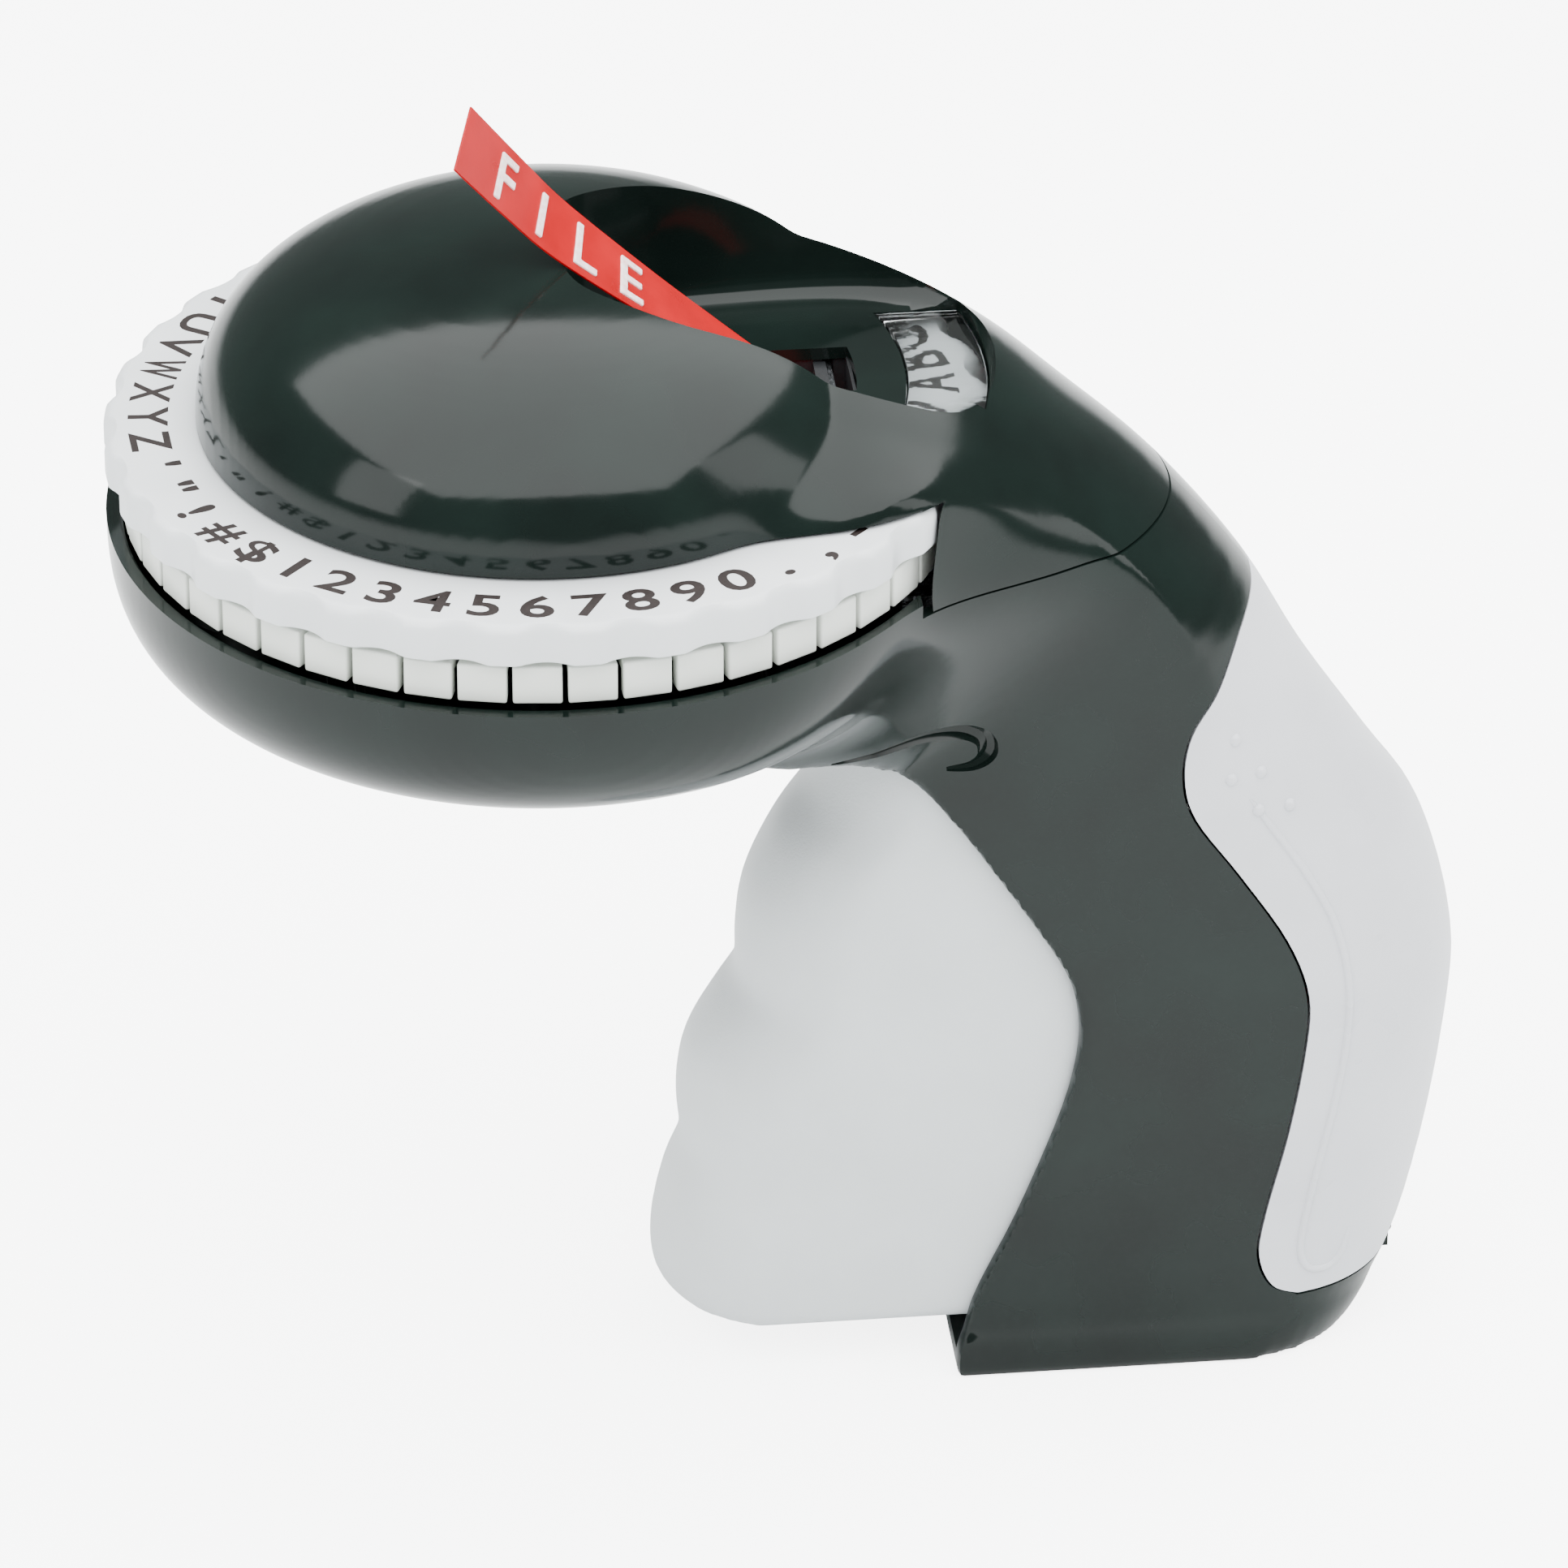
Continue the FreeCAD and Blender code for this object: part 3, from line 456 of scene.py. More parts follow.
def pad_ink():
    """Dark brown-black pad printed ink, slightly raised and dull."""
    material, tree, principled, mm = new_material("pad_printed_ink", IOR=1.5)
    grain = noise(tree, mm, 0.35, 3.0)
    tree.links.new(tinted(tree, grain, "#140b09", "#1c110f"), principled.inputs["Base Color"])
    tree.links.new(spread(tree, grain, 0.42, 0.6), principled.inputs["Roughness"])
    return material


GLOSS_BLACK = moulded("gloss_black_abs", "#0b1210", "#101a17", 0.12, 0.9, 0.002, specular=0.2)
INNER_BLACK = moulded("matt_black_nylon", "#16181a", "#202325", 0.48, 0.5, 0.02)
RING_GREY = moulded("satin_grey_abs", "#d0d4d6", "#d9dddf", 0.34, 0.35, 0.008)
WHEEL_GREY = moulded("satin_warm_acetal", "#d2d6cf", "#dce0d9", 0.34, 0.5, 0.006)
TRIGGER_GREY = moulded("textured_grey_abs", "#c2c7c9", "#cbd0d2", 0.42, 0.32, 0.03)
COVER_GREY = moulded("satin_silver_grey_abs", "#c6c8cd", "#cfd1d6", 0.30, 0.4, 0.008)
CLEAR = clear_polycarbonate()
VINYL = embossing_vinyl()
WHITENED = stress_white()
INK = pad_ink()
STEEL = metal("zinc_plated_steel", "#8d9094", "#b4b7ba", 0.30, 0.3, (0.15, 1.0, 1.0))
SPRING_STEEL = metal("drawn_spring_steel", "#6f7276", "#96999d", 0.26, 0.2, (1.0, 0.2, 1.0))
RUBBER = moulded("moulded_rubber", "#1b1b1c", "#262627", 0.62, 0.4, 0.03)

NODE_FINISH = {
    INNER_BLACK: ["cutter_guide", "tape_guide", "roller_bracket", "tape_wall", "roll_spindle",
                  "ratchet_wheel", "blade_holder", "tape_spool"],
    WHEEL_GREY: ["upper_die_ring", "dial_hub", "detent_wheel"],
    VINYL: ["tape_roll"],
    STEEL: ["case_screws", "dial_spindle", "anvil", "chassis_left", "chassis_right",
            "chassis_spacer", "trigger_pin", "hammer_pin", "trigger_lever", "hammer_lever",
            "hammer_head", "feed_axle"],
    SPRING_STEEL: ["detent_spring", "spindle_clip", "trigger_spring", "hammer_spring",
                   "cutter_blade"],
    RUBBER: ["feed_roller", "pinch_roller"],
}


def finish(obj, *materials):
    obj.data.materials.clear()
    for material in materials:
        obj.data.materials.append(material)
    return obj


for material, nodes in NODE_FINISH.items():
    for node in nodes:
        finish(bpy.data.objects[node], material)


# ---------------------------------------------------------------- case shells
STEP_X = -33.5 * MM       # where the joint line steps down from the bowl rim to the neck
RING_ROOM_R = DIAL_R + 0.6 * MM
CASE_SCREWS = [(-104.0, 110.6), (-50.0, 109.4), (-8.6, 94.0), (17.0, 6.3)]
SCREW_BORE_R, SCREW_HEAD_R = 1.3, 2.9
DOOR_HINGE = (31.2, 10.6)
KNUCKLE_R = 0.8
KNUCKLE_Y = (2.75, 4.6)    # where each knuckle of the case starts and ends across the object
MOUTH_HALF = 15.5 * MM     # half width of the opening for the trigger
MOUTH_TOP = 90.5 * MM
SLOT_HALF = 5.6 * MM       # half width of the tape slot
DOOR_EDGE = [(12.6, 109.6), (8.6, 106.4), (5.4, 101.0), (2.1, 95.0), (1.3, 88.6), (2.9, 82.4),
             (8.8, 73.6), (15.0, 63.6), (18.0, 55.0), (17.8, 46.4), (16.0, 34.4), (13.4, 22.6),
             (12.6, 15.9), (14.4, 11.2), (17.8, 9.6)]


def rod(name, x, z, y0, y1, radius, steps=48):
    """Cylinder across the object, millimetres in."""
    clear_selection()
    bpy.ops.mesh.primitive_cylinder_add(
        vertices=steps, radius=radius * MM, depth=(y1 - y0) * MM,
        location=(x * MM, (y0 + y1) / 2 * MM, z * MM), rotation=(math.pi / 2, 0, 0))
    return settle(named(name))


def door_block(name, margin):
    """The back cover's side outline, carried right across the handle."""
    rows = smoothed(DOOR_EDGE, 5)
    outline = [((x - margin) * MM, z * MM) for x, z in rows]
    outline += [(0.060, (DOOR_EDGE[-1][1] - margin) * MM), (0.060, DOOR_EDGE[0][1] * MM)]
    outline[-3] = (outline[-3][0] + margin * MM, outline[-2][1])
    return bridged(name, [[(x, y, z) for x, z in outline] for y in (-0.06, 0.06)])


def soften(obj, voxel_mm, rounds):
    """Even, slightly rounded skin, as polished moulds give."""
    apply_modifier(obj, "REMESH", mode="VOXEL", voxel_size=voxel_mm * MM)
    apply_modifier(obj, "SMOOTH", factor=0.5, iterations=rounds)
    return obj


FADE = 12 * MM             # height over which the blend comes in above its floor


def fill_corner(obj, centre, reach, rounds, floor=94 * MM):
    """Smooth one region over a floor harder, so that two bodies flow into each other."""
    group = obj.vertex_groups.new(name="blend")
    middle = Vector(centre)
    for vertex in obj.data.vertices:
        place = vertex.co.copy()
        place.y = abs(place.y)
        away = (place - middle).length / reach
        share = (1.0 - min(away, 1.0) ** 2) ** 2 * min(max((place.z - floor) / FADE, 0.0), 1.0)
        if share > 0.0:
            group.add([vertex.index], share, "REPLACE")
    apply_modifier(obj, "SMOOTH", factor=0.8, iterations=rounds, vertex_group="blend")
    obj.vertex_groups.clear()


def side_of(obj, x, z, side):
    """Where a line across the object at (x, z) meets its skin, and the face direction."""
    _, place, normal, _ = obj.ray_cast(Vector((x * MM, side * 0.06, z * MM)),
                                       Vector((0, -side, 0)))
    return place, normal


def bead(name, line, size, lift, taper):
    """Bead along places on a skin; its height is a share of its width, and its ends thin out."""
    loops = []
    for i, (place, normal) in enumerate(line):
        along = line[min(i + 1, len(line) - 1)][0] - line[max(i - 1, 0)][0]
        across = along.cross(normal).normalized()
        ends = min(i, len(line) - 1 - i)
        radius = size * min(1.0, 0.25 + ends / taper)
        loops.append([place + across * radius * math.cos(2 * math.pi * k / 8)
                      + normal * radius * lift * math.sin(2 * math.pi * k / 8) for k in range(8)])
    return bridged(name, loops)


# Curled groove where the bowl's underside runs out on the handle, millimetres.
POCKET_R = 1.3
POCKET = [(-44.0, 98.4), (-38.0, 98.0), (-31.0, 98.0), (-26.8, 97.6), (-24.0, 96.0),
          (-23.6, 93.6), (-25.4, 92.0), (-28.6, 91.6)]


def case_core():
    """Bowl, dome, neck and handle as one solid skin, with the scoop sunk into it."""
    core = spun("case_core", bulged(DISH_R, DISH_RIM, DISH_RIM - DISH_DEPTH, BOWL_POWER))
    combine(core, spun("dome", bulged(DOME_R, DOME_BASE, DOME_TOP, DOME_POWER)), "UNION")
    combine(core, drum("rim_wall", DISH_R, DISH_RIM - 0.5 * MM, DISH_RIM + 6 * MM), "UNION")
    combine(core, drum("dome_wall", DOME_R, DISH_RIM, DOME_BASE + 0.2 * MM), "UNION")
    combine(core, neck_body("neck", 0.0), "UNION")
    combine(core, foot_band(), "UNION")
    soften(core, 0.9, 6)
    fill_corner(core, (-34 * MM, 30 * MM, 111 * MM), 31 * MM, 300, 91 * MM)
    fill_corner(core, (-52 * MM, 35 * MM, 145 * MM), 16 * MM, 140)
    for side in (-1, 1):
        line = [side_of(core, x, z, side) for x, z in smoothed(POCKET, 5)]
        combine(core, bead("pocket", line, POCKET_R * MM, 1.0, 14), "DIFFERENCE")
    combine(core, scoop_body("scoop", 0.0, SCOOP_FLOOR), "DIFFERENCE")
    return core


def foot_band():
    """Low band round the base that stands out a little from the handle."""
    rows = smoothed([[*a, *b, f, *j, *k, *s] for a, b, f, j, k, s in STATIONS[-2:]], 8)
    loops = [station_loop(row, grow) for row, grow in zip(rows[::-1], (-0.7, -0.75, -0.8, -0.75,
                                                                      -0.6, -0.2))]
    return bridged("foot_band", loops)


def above_joint(name, gap):
    """Space over the joint line: low over the neck, and over the bowl's rim elsewhere."""
    low = block(name, (STEP_X, -0.09, PARTING + gap), (0.07, 0.09, 0.2))
    high = block("high", (-0.2, -0.09, DISH_RIM + gap), (STEP_X, 0.09, 0.2))
    return combine(low, high, "UNION")


def case_hollow():
    hollow = spun("hollow", bulged(DISH_R - WALL, DISH_RIM + 2 * MM,
                                   DISH_RIM - DISH_DEPTH + WALL, BOWL_POWER), 96)
    inner = neck_body("neck_inner", WALL / MM)
    combine(inner, block("foot", (-0.2, -0.09, -0.02), (0.09, 0.09, 3.0 * MM)), "DIFFERENCE")
    combine(hollow, inner, "UNION")
    for x, z in CASE_SCREWS:
        combine(hollow, rod("boss", x, z, -60, 60, 3.0), "DIFFERENCE")
    return hollow


def make_body(core):
    """Left and right halves of the case, with the mouth for the trigger and the screw holes."""
    body = duplicate(core, "body")
    combine(body, above_joint("above", 0.0), "DIFFERENCE")
    combine(body, case_hollow(), "DIFFERENCE")
    combine(body, block("mouth", (-80 * MM, -MOUTH_HALF, 3 * MM), (0, MOUTH_HALF, MOUTH_TOP)),
            "DIFFERENCE")
    combine(body, block("lever_way", (-37.5 * MM, -9 * MM, 84 * MM), (-22 * MM, 9 * MM, 100 * MM)),
            "DIFFERENCE")
    combine(body, drum("wheel_room", FINGER_R + 0.4 * MM, DISH_RIM - 0.6 * MM, 0.14),
            "DIFFERENCE")
    combine(body, door_block("door_space", 0.35), "DIFFERENCE")
    for side in (-1, 1):
        y0, y1 = sorted(side * y for y in KNUCKLE_Y)
        knuckle = rod("knuckle", *DOOR_HINGE, y0, y1, KNUCKLE_R, 32)
        x, z = [v * MM for v in DOOR_HINGE]
        foot = block("foot", (x - KNUCKLE_R * MM, y0 * MM, z - 3 * MM),
                     (x + KNUCKLE_R / 2 * MM, y1 * MM, z))
        combine(body, combine(knuckle, foot, "UNION"), "UNION")
    combine(body, rod("pin_hole", *DOOR_HINGE, -6, 6, 0.37, 24), "DIFFERENCE")
    for x, z in CASE_SCREWS:
        combine(body, rod("hole", x, z, -9, 12.5, SCREW_BORE_R, 24), "DIFFERENCE")
        combine(body, rod("counterbore", x, z, 12, 60, SCREW_HEAD_R), "DIFFERENCE")
    right = duplicate(body, "body_right_shell")
    combine(body, block("right_side", (-0.2, -0.02 * MM, -0.1), (0.1, 0.1, 0.3)), "DIFFERENCE")
    combine(right, block("left_side", (-0.2, -0.1, -0.1), (0.1, 0.02 * MM, 0.3)), "DIFFERENCE")
    body.name = "body_left_shell"
    for half, node in ((body, "body_left"), (right, "body_right")):
        finish(glossy(half), GLOSS_BLACK)
        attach(half, "housing")
        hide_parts(node)


def make_top_cover(core):
    """Dome and neck cover with its scoop, window hole and tape slot."""
    cover = duplicate(core, "top_cover_shell")
    low = block("below", (-0.2, -0.09, -0.05), (0.09, 0.09, PARTING + 0.3 * MM))
    front = block("front", (-0.2, -0.09, -0.05), (STEP_X, 0.09, DOME_BASE - 0.3 * MM))
    combine(cover, combine(low, front, "UNION"), "DIFFERENCE")
    hollow = spun("hollow", bulged(DOME_R - WALL, DOME_BASE - 2 * MM, DOME_TOP - WALL,
                                   DOME_POWER), 96)
    combine(hollow, neck_body("neck_inner", WALL / MM), "UNION")
    combine(hollow, scoop_body("scoop_skin", 2.2, SCOOP_FLOOR - 1.6 * MM), "DIFFERENCE")
    combine(hollow, drum("boss", 5.6 * MM, 0.1, 0.2, 48), "DIFFERENCE")
    combine(cover, hollow, "DIFFERENCE")
    combine(cover, drum("ring_room", RING_ROOM_R, 0.1, DOME_BASE - 0.45 * MM), "DIFFERENCE")
    combine(cover, drum("spindle_hole", 3.0 * MM, 0.1, 0.150, 48), "DIFFERENCE")
    combine(cover, lens_sector("window_hole", 0.02 * MM, 0.13, 0.1455), "DIFFERENCE")
    slot = block("slot", (-52 * MM, -SLOT_HALF, 130 * MM), (-36 * MM, SLOT_HALF, 142.5 * MM))
    combine(slot, drum("slot_end", 38.7 * MM, 0.12, 0.15), "INTERSECT")
    combine(cover, slot, "DIFFERENCE")
    finish(glossy(cover), GLOSS_BLACK)
    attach(cover, "housing")
    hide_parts("top_cover")


def lens_sector(name, margin, low, high):
    """Curved piece of the window: between two circles about the dial, cut straight at the sides."""
    half = lens_high[1] + margin
    outer = drum(name, LENS_R[1] + margin, low, high)
    combine(outer, drum("inner", LENS_R[0] - margin, low - MM, high + MM), "DIFFERENCE")
    return combine(outer, block("sides", (DIAL_X, -half, low - MM), (0.02, half, high + MM)),
                   "INTERSECT")


def make_window():
    lens = lens_sector("window_pane", -0.03 * MM, lens_low[2], lens_high[2])
    apply_modifier(lens, "BEVEL", width=0.35 * MM, segments=3, limit_method="ANGLE",
                   angle_limit=math.radians(50))
    finish(smooth_faces(lens, 40), CLEAR)
    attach(lens, "housing")
    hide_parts("window_lens")


def make_back_cover(core):
    """Grey palm cover with its raised line and five grip dots a side."""
    cover = duplicate(core, "back_cover_shell")
    combine(cover, door_block("door", 0.0), "INTERSECT")
    combine(cover, neck_body("neck_inner", WALL / MM), "DIFFERENCE")
    x, z = [v * MM for v in DOOR_HINGE]
    for side in (-1, 1):
        y0, y1 = sorted((side * (KNUCKLE_Y[0] - 0.25), side * (KNUCKLE_Y[1] + 0.25)))
        combine(cover, rod("notch", *DOOR_HINGE, y0, y1, KNUCKLE_R + 0.35, 32), "DIFFERENCE")
    combine(cover, block("under", (x - 3 * MM, -4.85 * MM, z - 3 * MM),
                         (x + 3 * MM, 4.85 * MM, z)), "DIFFERENCE")
    combine(cover, rod("knuckle", *DOOR_HINGE, -2.5, 2.5, KNUCKLE_R, 32), "UNION")
    combine(cover, rod("pin_hole", *DOOR_HINGE, -6, 6, 0.4, 24), "DIFFERENCE")
    finish(glossy(cover), COVER_GREY)
    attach(cover, "door")
    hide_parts("back_cover")
    make_grip_marks(cover)


# The dots and the fine raised line on each side of the back cover, millimetres.
DOT_R, DOT_SUNK = 0.9, 0.3
RIDGE_R = 0.5
GRIP_DOTS = [(7.7, 93.4), (7.2, 88.1), (11.1, 88.2), (10.8, 83.2), (14.9, 83.0)]
RIDGE = [(9.6, 85.0), (13.4, 79.2), (17.6, 72.6), (21.0, 65.6), (23.0, 57.0), (23.0, 48.0),
         (21.6, 38.0), (19.6, 28.0), (18.2, 20.0), (18.0, 15.6), (19.4, 13.2), (22.0, 13.0),
         (23.6, 15.0), (24.4, 18.6)]


def make_grip_marks(cover):
    pieces = []
    for side in (-1, 1):
        for x, z in GRIP_DOTS:
            place, normal = side_of(cover, x, z, side)
            clear_selection()
            bpy.ops.mesh.primitive_uv_sphere_add(segments=24, ring_count=12, radius=DOT_R * MM,
                                                 location=place - normal * DOT_SUNK * MM)
            pieces.append(settle(named("grip_dot")))
        line = [side_of(cover, x, z, side) for x, z in smoothed(RIDGE, 4)]
        pieces.append(bead("grip_ridge", line, RIDGE_R * MM, 0.7, 4))
    marks = joined("grip_marks", pieces)
    finish(smooth_faces(marks, 60), COVER_GREY)
    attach(marks, "door")


def make_tape_throat():
    """Dark chute under the tape slot, split where the blade passes."""
    throat = block("tape_throat", (-52.3 * MM, -6.25 * MM, 0.1332), (-38.4 * MM, 6.25 * MM, 0.138))
    combine(throat, block("inside", (-52.0 * MM, -6.0 * MM, 0.13), (-38.8 * MM, 6.0 * MM, 0.14)),
            "DIFFERENCE")
    combine(throat, block("blade_gap", (-41.7 * MM, -7 * MM, 0.13), (-40.3 * MM, 7 * MM, 0.14)),
            "DIFFERENCE")
    finish(smooth_faces(throat, 30), INNER_BLACK)
    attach(throat, "housing")


CORE = case_core()
make_body(CORE)
make_top_cover(CORE)
make_window()
make_back_cover(CORE)
make_tape_throat()
bpy.data.objects.remove(CORE, do_unlink=True)


# ---------------------------------------------------------------- trigger
# Height, front of the grip, rear edge, millimetres.
GRIP_ROWS = [(7.2, -62.6, -22.0), (10.0, -64.3, -21.0), (15.6, -64.4, -19.4),
             (23.0, -62.8, -16.6), (28.5, -60.7, -14.6), (35.0, -61.1, -12.6),
             (42.0, -60.1, -11.0), (48.5, -56.6, -9.9), (53.5, -53.6, -10.0),
             (59.0, -53.4, -11.2), (66.0, -52.4, -14.8), (74.0, -48.8, -19.6),
             (81.0, -44.1, -24.0), (90.0, -40.8, -26.4)]
GRIP_HALF = 15.0


def grip_body(name, inset, low, high, reach):
    loops = []
    bottom, top = GRIP_ROWS[0][0], GRIP_ROWS[-1][0]
    for z, front, rear in smoothed(GRIP_ROWS, 4):
        level = low + (z - bottom) * (high - low) / (top - bottom)
        tip, side, back = front + inset, front + 12.0, rear + reach
        half = GRIP_HALF - inset
        nose = [(-d, y) for d, y in crown(-side, -tip, half, 20)]
        edge = [(side + (back - side) * k / 6, half) for k in range(1, 7)]
        rim = [(back, half - 2 * half * k / 8) for k in range(1, 8)]
        flat = nose + edge + rim + [(x, -y) for x, y in edge[::-1]]
        loops.append([(x * MM, y * MM, level * MM) for x, y in flat])
    return bridged(name, loops)


def make_trigger():
    """Hollow finger grip with three soft humps."""
    grip = grip_body("trigger_grip", 0.0, 7.2, 90.0, 0.0)
    soften(grip, 0.8, 10)
    combine(grip, grip_body("grip_hollow", 2.6, 9.8, 86.4, 6.0), "DIFFERENCE")
    combine(grip, block("lever_slot", (-36.0 * MM, -7.6 * MM, 0.08), (-0.02, 7.6 * MM, 0.092)),
            "DIFFERENCE")
    finish(smooth_faces(grip, 40), TRIGGER_GREY)
    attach(grip, "trigger")
    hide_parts("trigger_shell")


# ---------------------------------------------------------------- dial
NOTCHES = 33
NOTCH_HALF = 3.3 * MM
NOTCH_DEPTH = 1.1 * MM
FIRST_NOTCH = math.radians(-83.5)
CHARACTERS = "ABCDEFGHIJKLMNOPQRSTUVWXYZ'\"!#$1234567890.,-'?&+/"
LETTER_R = 48.3 * MM
LETTER_SIZE = 6.9 * MM
LETTER_WIDE = 4.9 * MM     # the widest that a character is drawn
BOLD = 0.13 * MM
BOLD_M = 0.05 * MM         # a bolder M would close its own notch
RIM_FROM = 51.8 * MM       # outside this radius the ring is scalloped
CAP_SHARE = 0.72           # height of a capital as a share of the type size


def make_dial_ring():
    """Lettered ring with a scalloped rim, rounded along its edges."""
    profile = [(41.0, -1.6), (41.0, -0.35), (41.1, -0.1), (41.35, 0.0), (52.4, 0.0),
               (52.9, -0.06), (53.35, -0.3), (53.75, -0.75), (53.95, -1.3), (54.0, -1.9),
               (54.0, -4.5), (53.9, -5.0), (53.6, -5.25), (51.6, -5.3), (51.4, -5.1),
               (51.4, -1.8), (51.2, -1.6)]
    ring = spun("dial_ring_shell", [(r * MM, RING_TOP + z * MM) for r, z in profile + profile[:1]],
                NOTCHES * 16)
    for vertex in ring.data.vertices:
        x, y = vertex.co.x - DIAL_X, vertex.co.y
        radius, angle = math.hypot(x, y), math.atan2(y, x)
        share = (radius - RIM_FROM) / (DIAL_R - RIM_FROM)
        if share <= 0:
            continue
        pitch = 2 * math.pi / NOTCHES
        off = ((angle - FIRST_NOTCH + pitch / 2) % pitch - pitch / 2) * DIAL_R
        sunk = NOTCH_DEPTH * max(0.0, 1.0 - (off / NOTCH_HALF) ** 2) * min(1.0, share * 1.2)
        vertex.co.x = DIAL_X + x * (radius - sunk) / radius
        vertex.co.y = y * (radius - sunk) / radius
    finish(smooth_faces(ring, 30), RING_GREY)
    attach(ring, "dial")
    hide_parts("dial_ring")


def character(text, size, thickness, bold=0.0):
    """One character as a closed mesh about the origin, standing towards +Y."""
    clear_selection()
    bpy.ops.object.text_add(location=(0, 0, 0))
    obj = bpy.context.object
    obj.data.body = text
    obj.data.size = size
    obj.data.extrude = thickness / 2
    obj.data.offset = bold
    obj.data.align_x = "CENTER"
    obj.data.resolution_u = 4
    bpy.ops.object.convert(target="MESH")
    obj = bpy.context.object
    obj.data.transform(Matrix.Translation((0, -CAP_SHARE / 2 * size, 0)))
    return obj


def make_dial_letters():
    """Printed characters, tops towards the middle of the dial."""
    marks = []
    for i, text in enumerate(CHARACTERS):
        angle = 2 * math.pi * i / len(CHARACTERS)
        bold = BOLD_M if text == "M" else BOLD
        mark = character(text, LETTER_SIZE, 0.03 * MM, bold)
        wide = max(v.co.x for v in mark.data.vertices) - min(v.co.x for v in mark.data.vertices)
        stretch = min(1.3, LETTER_WIDE / wide)
        mark.data.transform(Matrix.Diagonal((stretch, 1.0, 1.0, 1.0)))
        mark.data.transform(Matrix.Rotation(angle + math.pi / 2, 4, "Z"))
        mark.data.transform(Matrix.Translation((DIAL_X + LETTER_R * math.cos(angle),
                                                LETTER_R * math.sin(angle),
                                                RING_TOP + 0.012 * MM)))
        marks.append(mark)
    letters = joined("dial_letters", marks)
    finish(letters, INK)
    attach(letters, "dial")


def make_finger_wheel():
    """Die wheel: a web and 49 springy fingers with square, softly rounded ends."""
    low, web_z, top = WHEEL_Z, WHEEL_Z + 3.0 * MM, WHEEL_TOP
    bore, web_r = 8.0 * MM, 30.6 * MM
    web = spun("finger_wheel_web", [(bore, web_z), (web_r, web_z), (web_r, top), (bore, top),
                                    (bore, web_z)], 98)
    half = math.pi / len(CHARACTERS)
    gap = 0.34 * MM            # half the slit between two fingers

    def corner(radius, z, side):
        reach = radius * math.tan(half) - gap
        return (DIAL_X + radius, side * reach, z)

    outline = [(30.4, web_z), (49.8, web_z), (49.8, low), (52.0, low), (52.0, top), (30.4, top)]
    scale = math.cos(half)
    finger = bridged("finger", [[corner(r * MM * scale, z, side) for r, z in outline]
                                for side in (-1, 1)])
    apply_modifier(finger, "BEVEL", width=0.32 * MM, segments=3, limit_method="ANGLE",
                   angle_limit=math.radians(50))
    parts = [web]
    for i in range(len(CHARACTERS)):
        copy = duplicate(finger, "finger_copy")
        copy.data.transform(Matrix.Translation((-DIAL_X, 0, 0)))
        copy.data.transform(Matrix.Rotation(2 * half * i, 4, "Z"))
        copy.data.transform(Matrix.Translation((DIAL_X, 0, 0)))
        parts.append(copy)
    bpy.data.objects.remove(finger, do_unlink=True)
    wheel = joined("finger_wheel_shell", parts)
    finish(smooth_faces(wheel, 40), WHEEL_GREY)
    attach(wheel, "dial")
    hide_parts("finger_wheel")


# ---------------------------------------------------------------- tape
TAPE_HALF = 4.5 * MM
TAPE_T = 0.3 * MM
TAPE_PATH = [((3.1, 0.0, 64.0), (0.0, 1.0, 0.0)), ((3.3, 0.0, 98.0), (0.0, 1.0, 0.0)),
             ((2.4, 0.0, 112.0), (0.0, 1.0, 0.0)), ((-3.5, 0.0, 120.6), (0.0, 1.0, 0.0)),
             ((-10.0, 0.0, 126.6), (0.0, 1.0, 0.0)), ((-16.5, 0.0, 130.1), (0.0, 1.0, 0.0)),
             ((-28.0, 0.0, 130.1), (0.0, 1.0, 0.0)), ((-39.0, 0.0, 130.1), (0.0, 1.0, 0.0)),
             ((-43.0, 0.0, 133.6), (0.0, 1.0, 0.0)), ((-47.0, 0.0, 137.6), (0.0, 1.0, 0.0)),
             ((-54.0, -0.1, 143.4), (0.03, 1.0, 0.08)), ((-63.8, -1.2, 151.9), (0.10, 0.96, 0.22)),
             ((-74.9, -3.7, 162.7), (0.20, 0.89, 0.40)), ((-80.8, -6.0, 170.2), (0.25, 0.84, 0.48)),
             ((-86.8, -9.4, 178.7), (0.28, 0.79, 0.54))]


def tape_frames(parts):
    """Centre, direction along, across and face of the tape at even shares of its path."""
    rows = smoothed([[*c, *w] for c, w in TAPE_PATH], parts)
    centres = [Vector(row[:3]) * MM for row in rows]
    frames = []
    for i, row in enumerate(rows):
        along = centres[min(i + 1, len(rows) - 1)] - centres[max(i - 1, 0)]
        along.normalize()
        across = Vector(row[3:])
        across = (across - along * across.dot(along)).normalized()
        frames.append((centres[i], along, across, across.cross(along)))
    return frames


def make_tape():
    """Vinyl strip from the roll, through the dies, to the free embossed end."""
    loops = []
    for centre, along, across, face in tape_frames(8):
        side, up = across * TAPE_HALF, face * (TAPE_T / 2)
        edge = across * 0.06 * MM
        loops.append([centre + side - edge + up, centre + side, centre + side - edge - up,
                      centre - side + edge - up, centre - side, centre - side + edge + up])
    tape = bridged("tape_band", loops)
    finish(smooth_faces(tape, 50), VINYL)
    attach(tape, "housing")
    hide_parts("tape_strip")


TAPE_TEXT = "FILE"
FIRST_LETTER = 9.4 * MM    # from the free end
LETTER_PITCH = 7.9 * MM
TAPE_LETTER = 9.0 * MM     # type size
RELIEF = 0.5 * MM


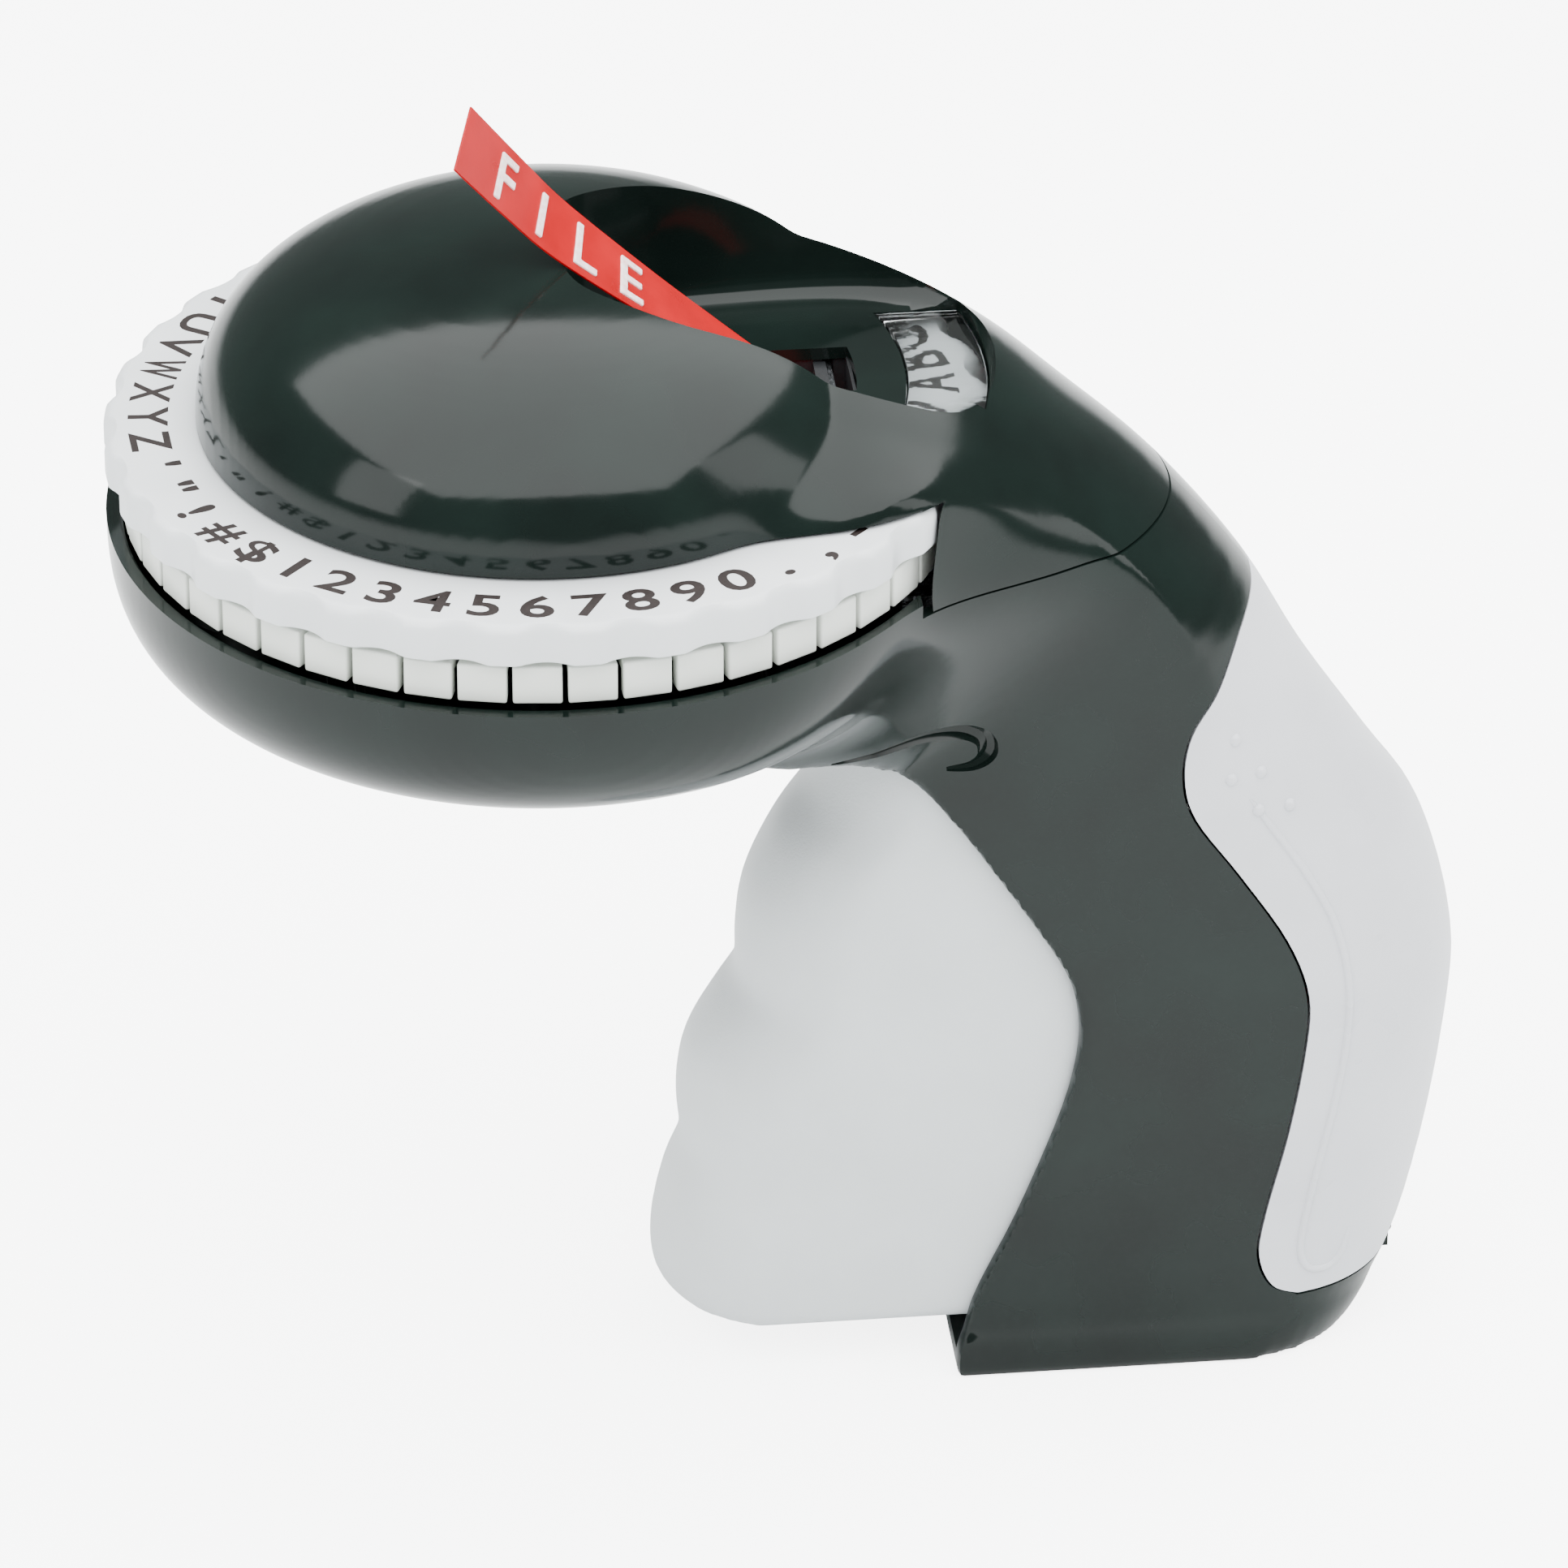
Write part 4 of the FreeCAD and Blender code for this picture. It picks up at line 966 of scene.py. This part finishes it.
def make_tape_letters():
    """Raised characters on the free end, whitened on top where the die stretched the vinyl."""
    frames = tape_frames(24)[::-1]
    length = [0.0]
    for a, b in zip(frames, frames[1:]):
        length.append(length[-1] + (b[0] - a[0]).length)

    def on_tape(point):
        """A point (along from the free end, across, off the face) laid on the bent tape."""
        i = max(k for k in range(len(length) - 1) if length[k] <= point.x)
        t = (point.x - length[i]) / (length[i + 1] - length[i])
        centre = frames[i][0].lerp(frames[i + 1][0], t)
        across = frames[i][2].lerp(frames[i + 1][2], t).normalized()
        face = frames[i][3].lerp(frames[i + 1][3], t).normalized()
        return centre + across * point.y + face * (TAPE_T / 2 + point.z)

    letters = []
    for i, text in enumerate(TAPE_TEXT):
        letter = character(text, TAPE_LETTER, RELIEF, 0.1 * MM)
        apply_modifier(letter, "REMESH", mode="VOXEL", voxel_size=0.12 * MM)
        apply_modifier(letter, "SMOOTH", factor=0.5, iterations=4)
        shift = FIRST_LETTER + LETTER_PITCH * i
        for vertex in letter.data.vertices:
            vertex.co = on_tape(Vector((vertex.co.x + shift, vertex.co.y, vertex.co.z)))
        letters.append(letter)
    raised = joined("tape_letters", letters)
    finish(smooth_faces(raised, 60), WHITENED)
    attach(raised, "housing")


make_trigger()
make_dial_ring()
make_dial_letters()
make_finger_wheel()
make_tape()
make_tape_letters()


# ---------------------------------------------------------------- studio
PAPER_GLOW = 5.0           # lifts the paper to white where the camera sees it


def make_floor():
    """Plain pale sweep under the object."""
    clear_selection()
    bpy.ops.mesh.primitive_plane_add(size=6.0, location=(0, 0, -0.0002))
    floor = settle(named("studio_floor"))
    paper = bpy.data.materials.new("matt_white_paper")
    paper.use_nodes = True
    shader = paper.node_tree.nodes["Principled BSDF"]
    shader.inputs["Base Color"].default_value = linear("#f4f6f6")
    shader.inputs["Roughness"].default_value = 0.9
    seen = paper.node_tree.nodes.new("ShaderNodeLightPath")
    glow = paper.node_tree.nodes.new("ShaderNodeMath")
    glow.operation = "MULTIPLY"
    glow.inputs[1].default_value = PAPER_GLOW
    paper.node_tree.links.new(seen.outputs["Is Camera Ray"], glow.inputs[0])
    paper.node_tree.links.new(glow.outputs["Value"], shader.inputs["Emission Strength"])
    shader.inputs["Emission Color"].default_value = (1.0, 1.0, 1.0, 1.0)
    finish(floor, paper)


def softbox(name, place, aim, width, height, power):
    light = bpy.data.lights.new(name, "AREA")
    light.shape = "RECTANGLE"
    light.size, light.size_y = width, height
    light.energy = power
    lamp = bpy.data.objects.new(name, light)
    lamp.location = place
    lamp.rotation_euler = (Vector(aim) - Vector(place)).to_track_quat("-Z", "Y").to_euler()
    bpy.context.collection.objects.link(lamp)


def make_studio():
    make_floor()
    world = bpy.data.worlds.new("studio")
    world.use_nodes = True
    world.node_tree.nodes["Background"].inputs["Color"].default_value = (0.90, 0.97, 0.95, 1)
    world.node_tree.nodes["Background"].inputs["Strength"].default_value = 0.35
    bpy.context.scene.world = world
    softbox("ceiling", (0.0, -0.35, 1.30), (0.0, -0.35, 0.0), 3.0, 2.6, 150)
    softbox("left_softbox", (-1.1, -0.55, 0.55), (-0.05, 0, 0.09), 0.5, 0.7, 5)
    softbox("right_softbox", (1.1, -0.45, 0.55), (0, 0, 0.08), 0.4, 0.7, 4)


def make_camera():
    """Long lens, a little from the left and 31 degrees above."""
    azimuth, elevation = math.radians(-6.0), math.radians(31.2)
    camera_data = bpy.data.cameras.new("camera")
    camera_data.sensor_width = 36.0
    camera_data.lens = 223.6
    camera_data.clip_start, camera_data.clip_end = 0.1, 10.0
    camera = bpy.data.objects.new("camera", camera_data)
    camera.location = (-0.1570, -1.0459, 0.7170)
    back = Vector((math.sin(azimuth) * math.cos(elevation),
                   -math.cos(azimuth) * math.cos(elevation), math.sin(elevation)))
    camera.rotation_euler = back.to_track_quat("Z", "Y").to_euler()
    bpy.context.collection.objects.link(camera)
    bpy.context.scene.camera = camera


make_studio()
make_camera()
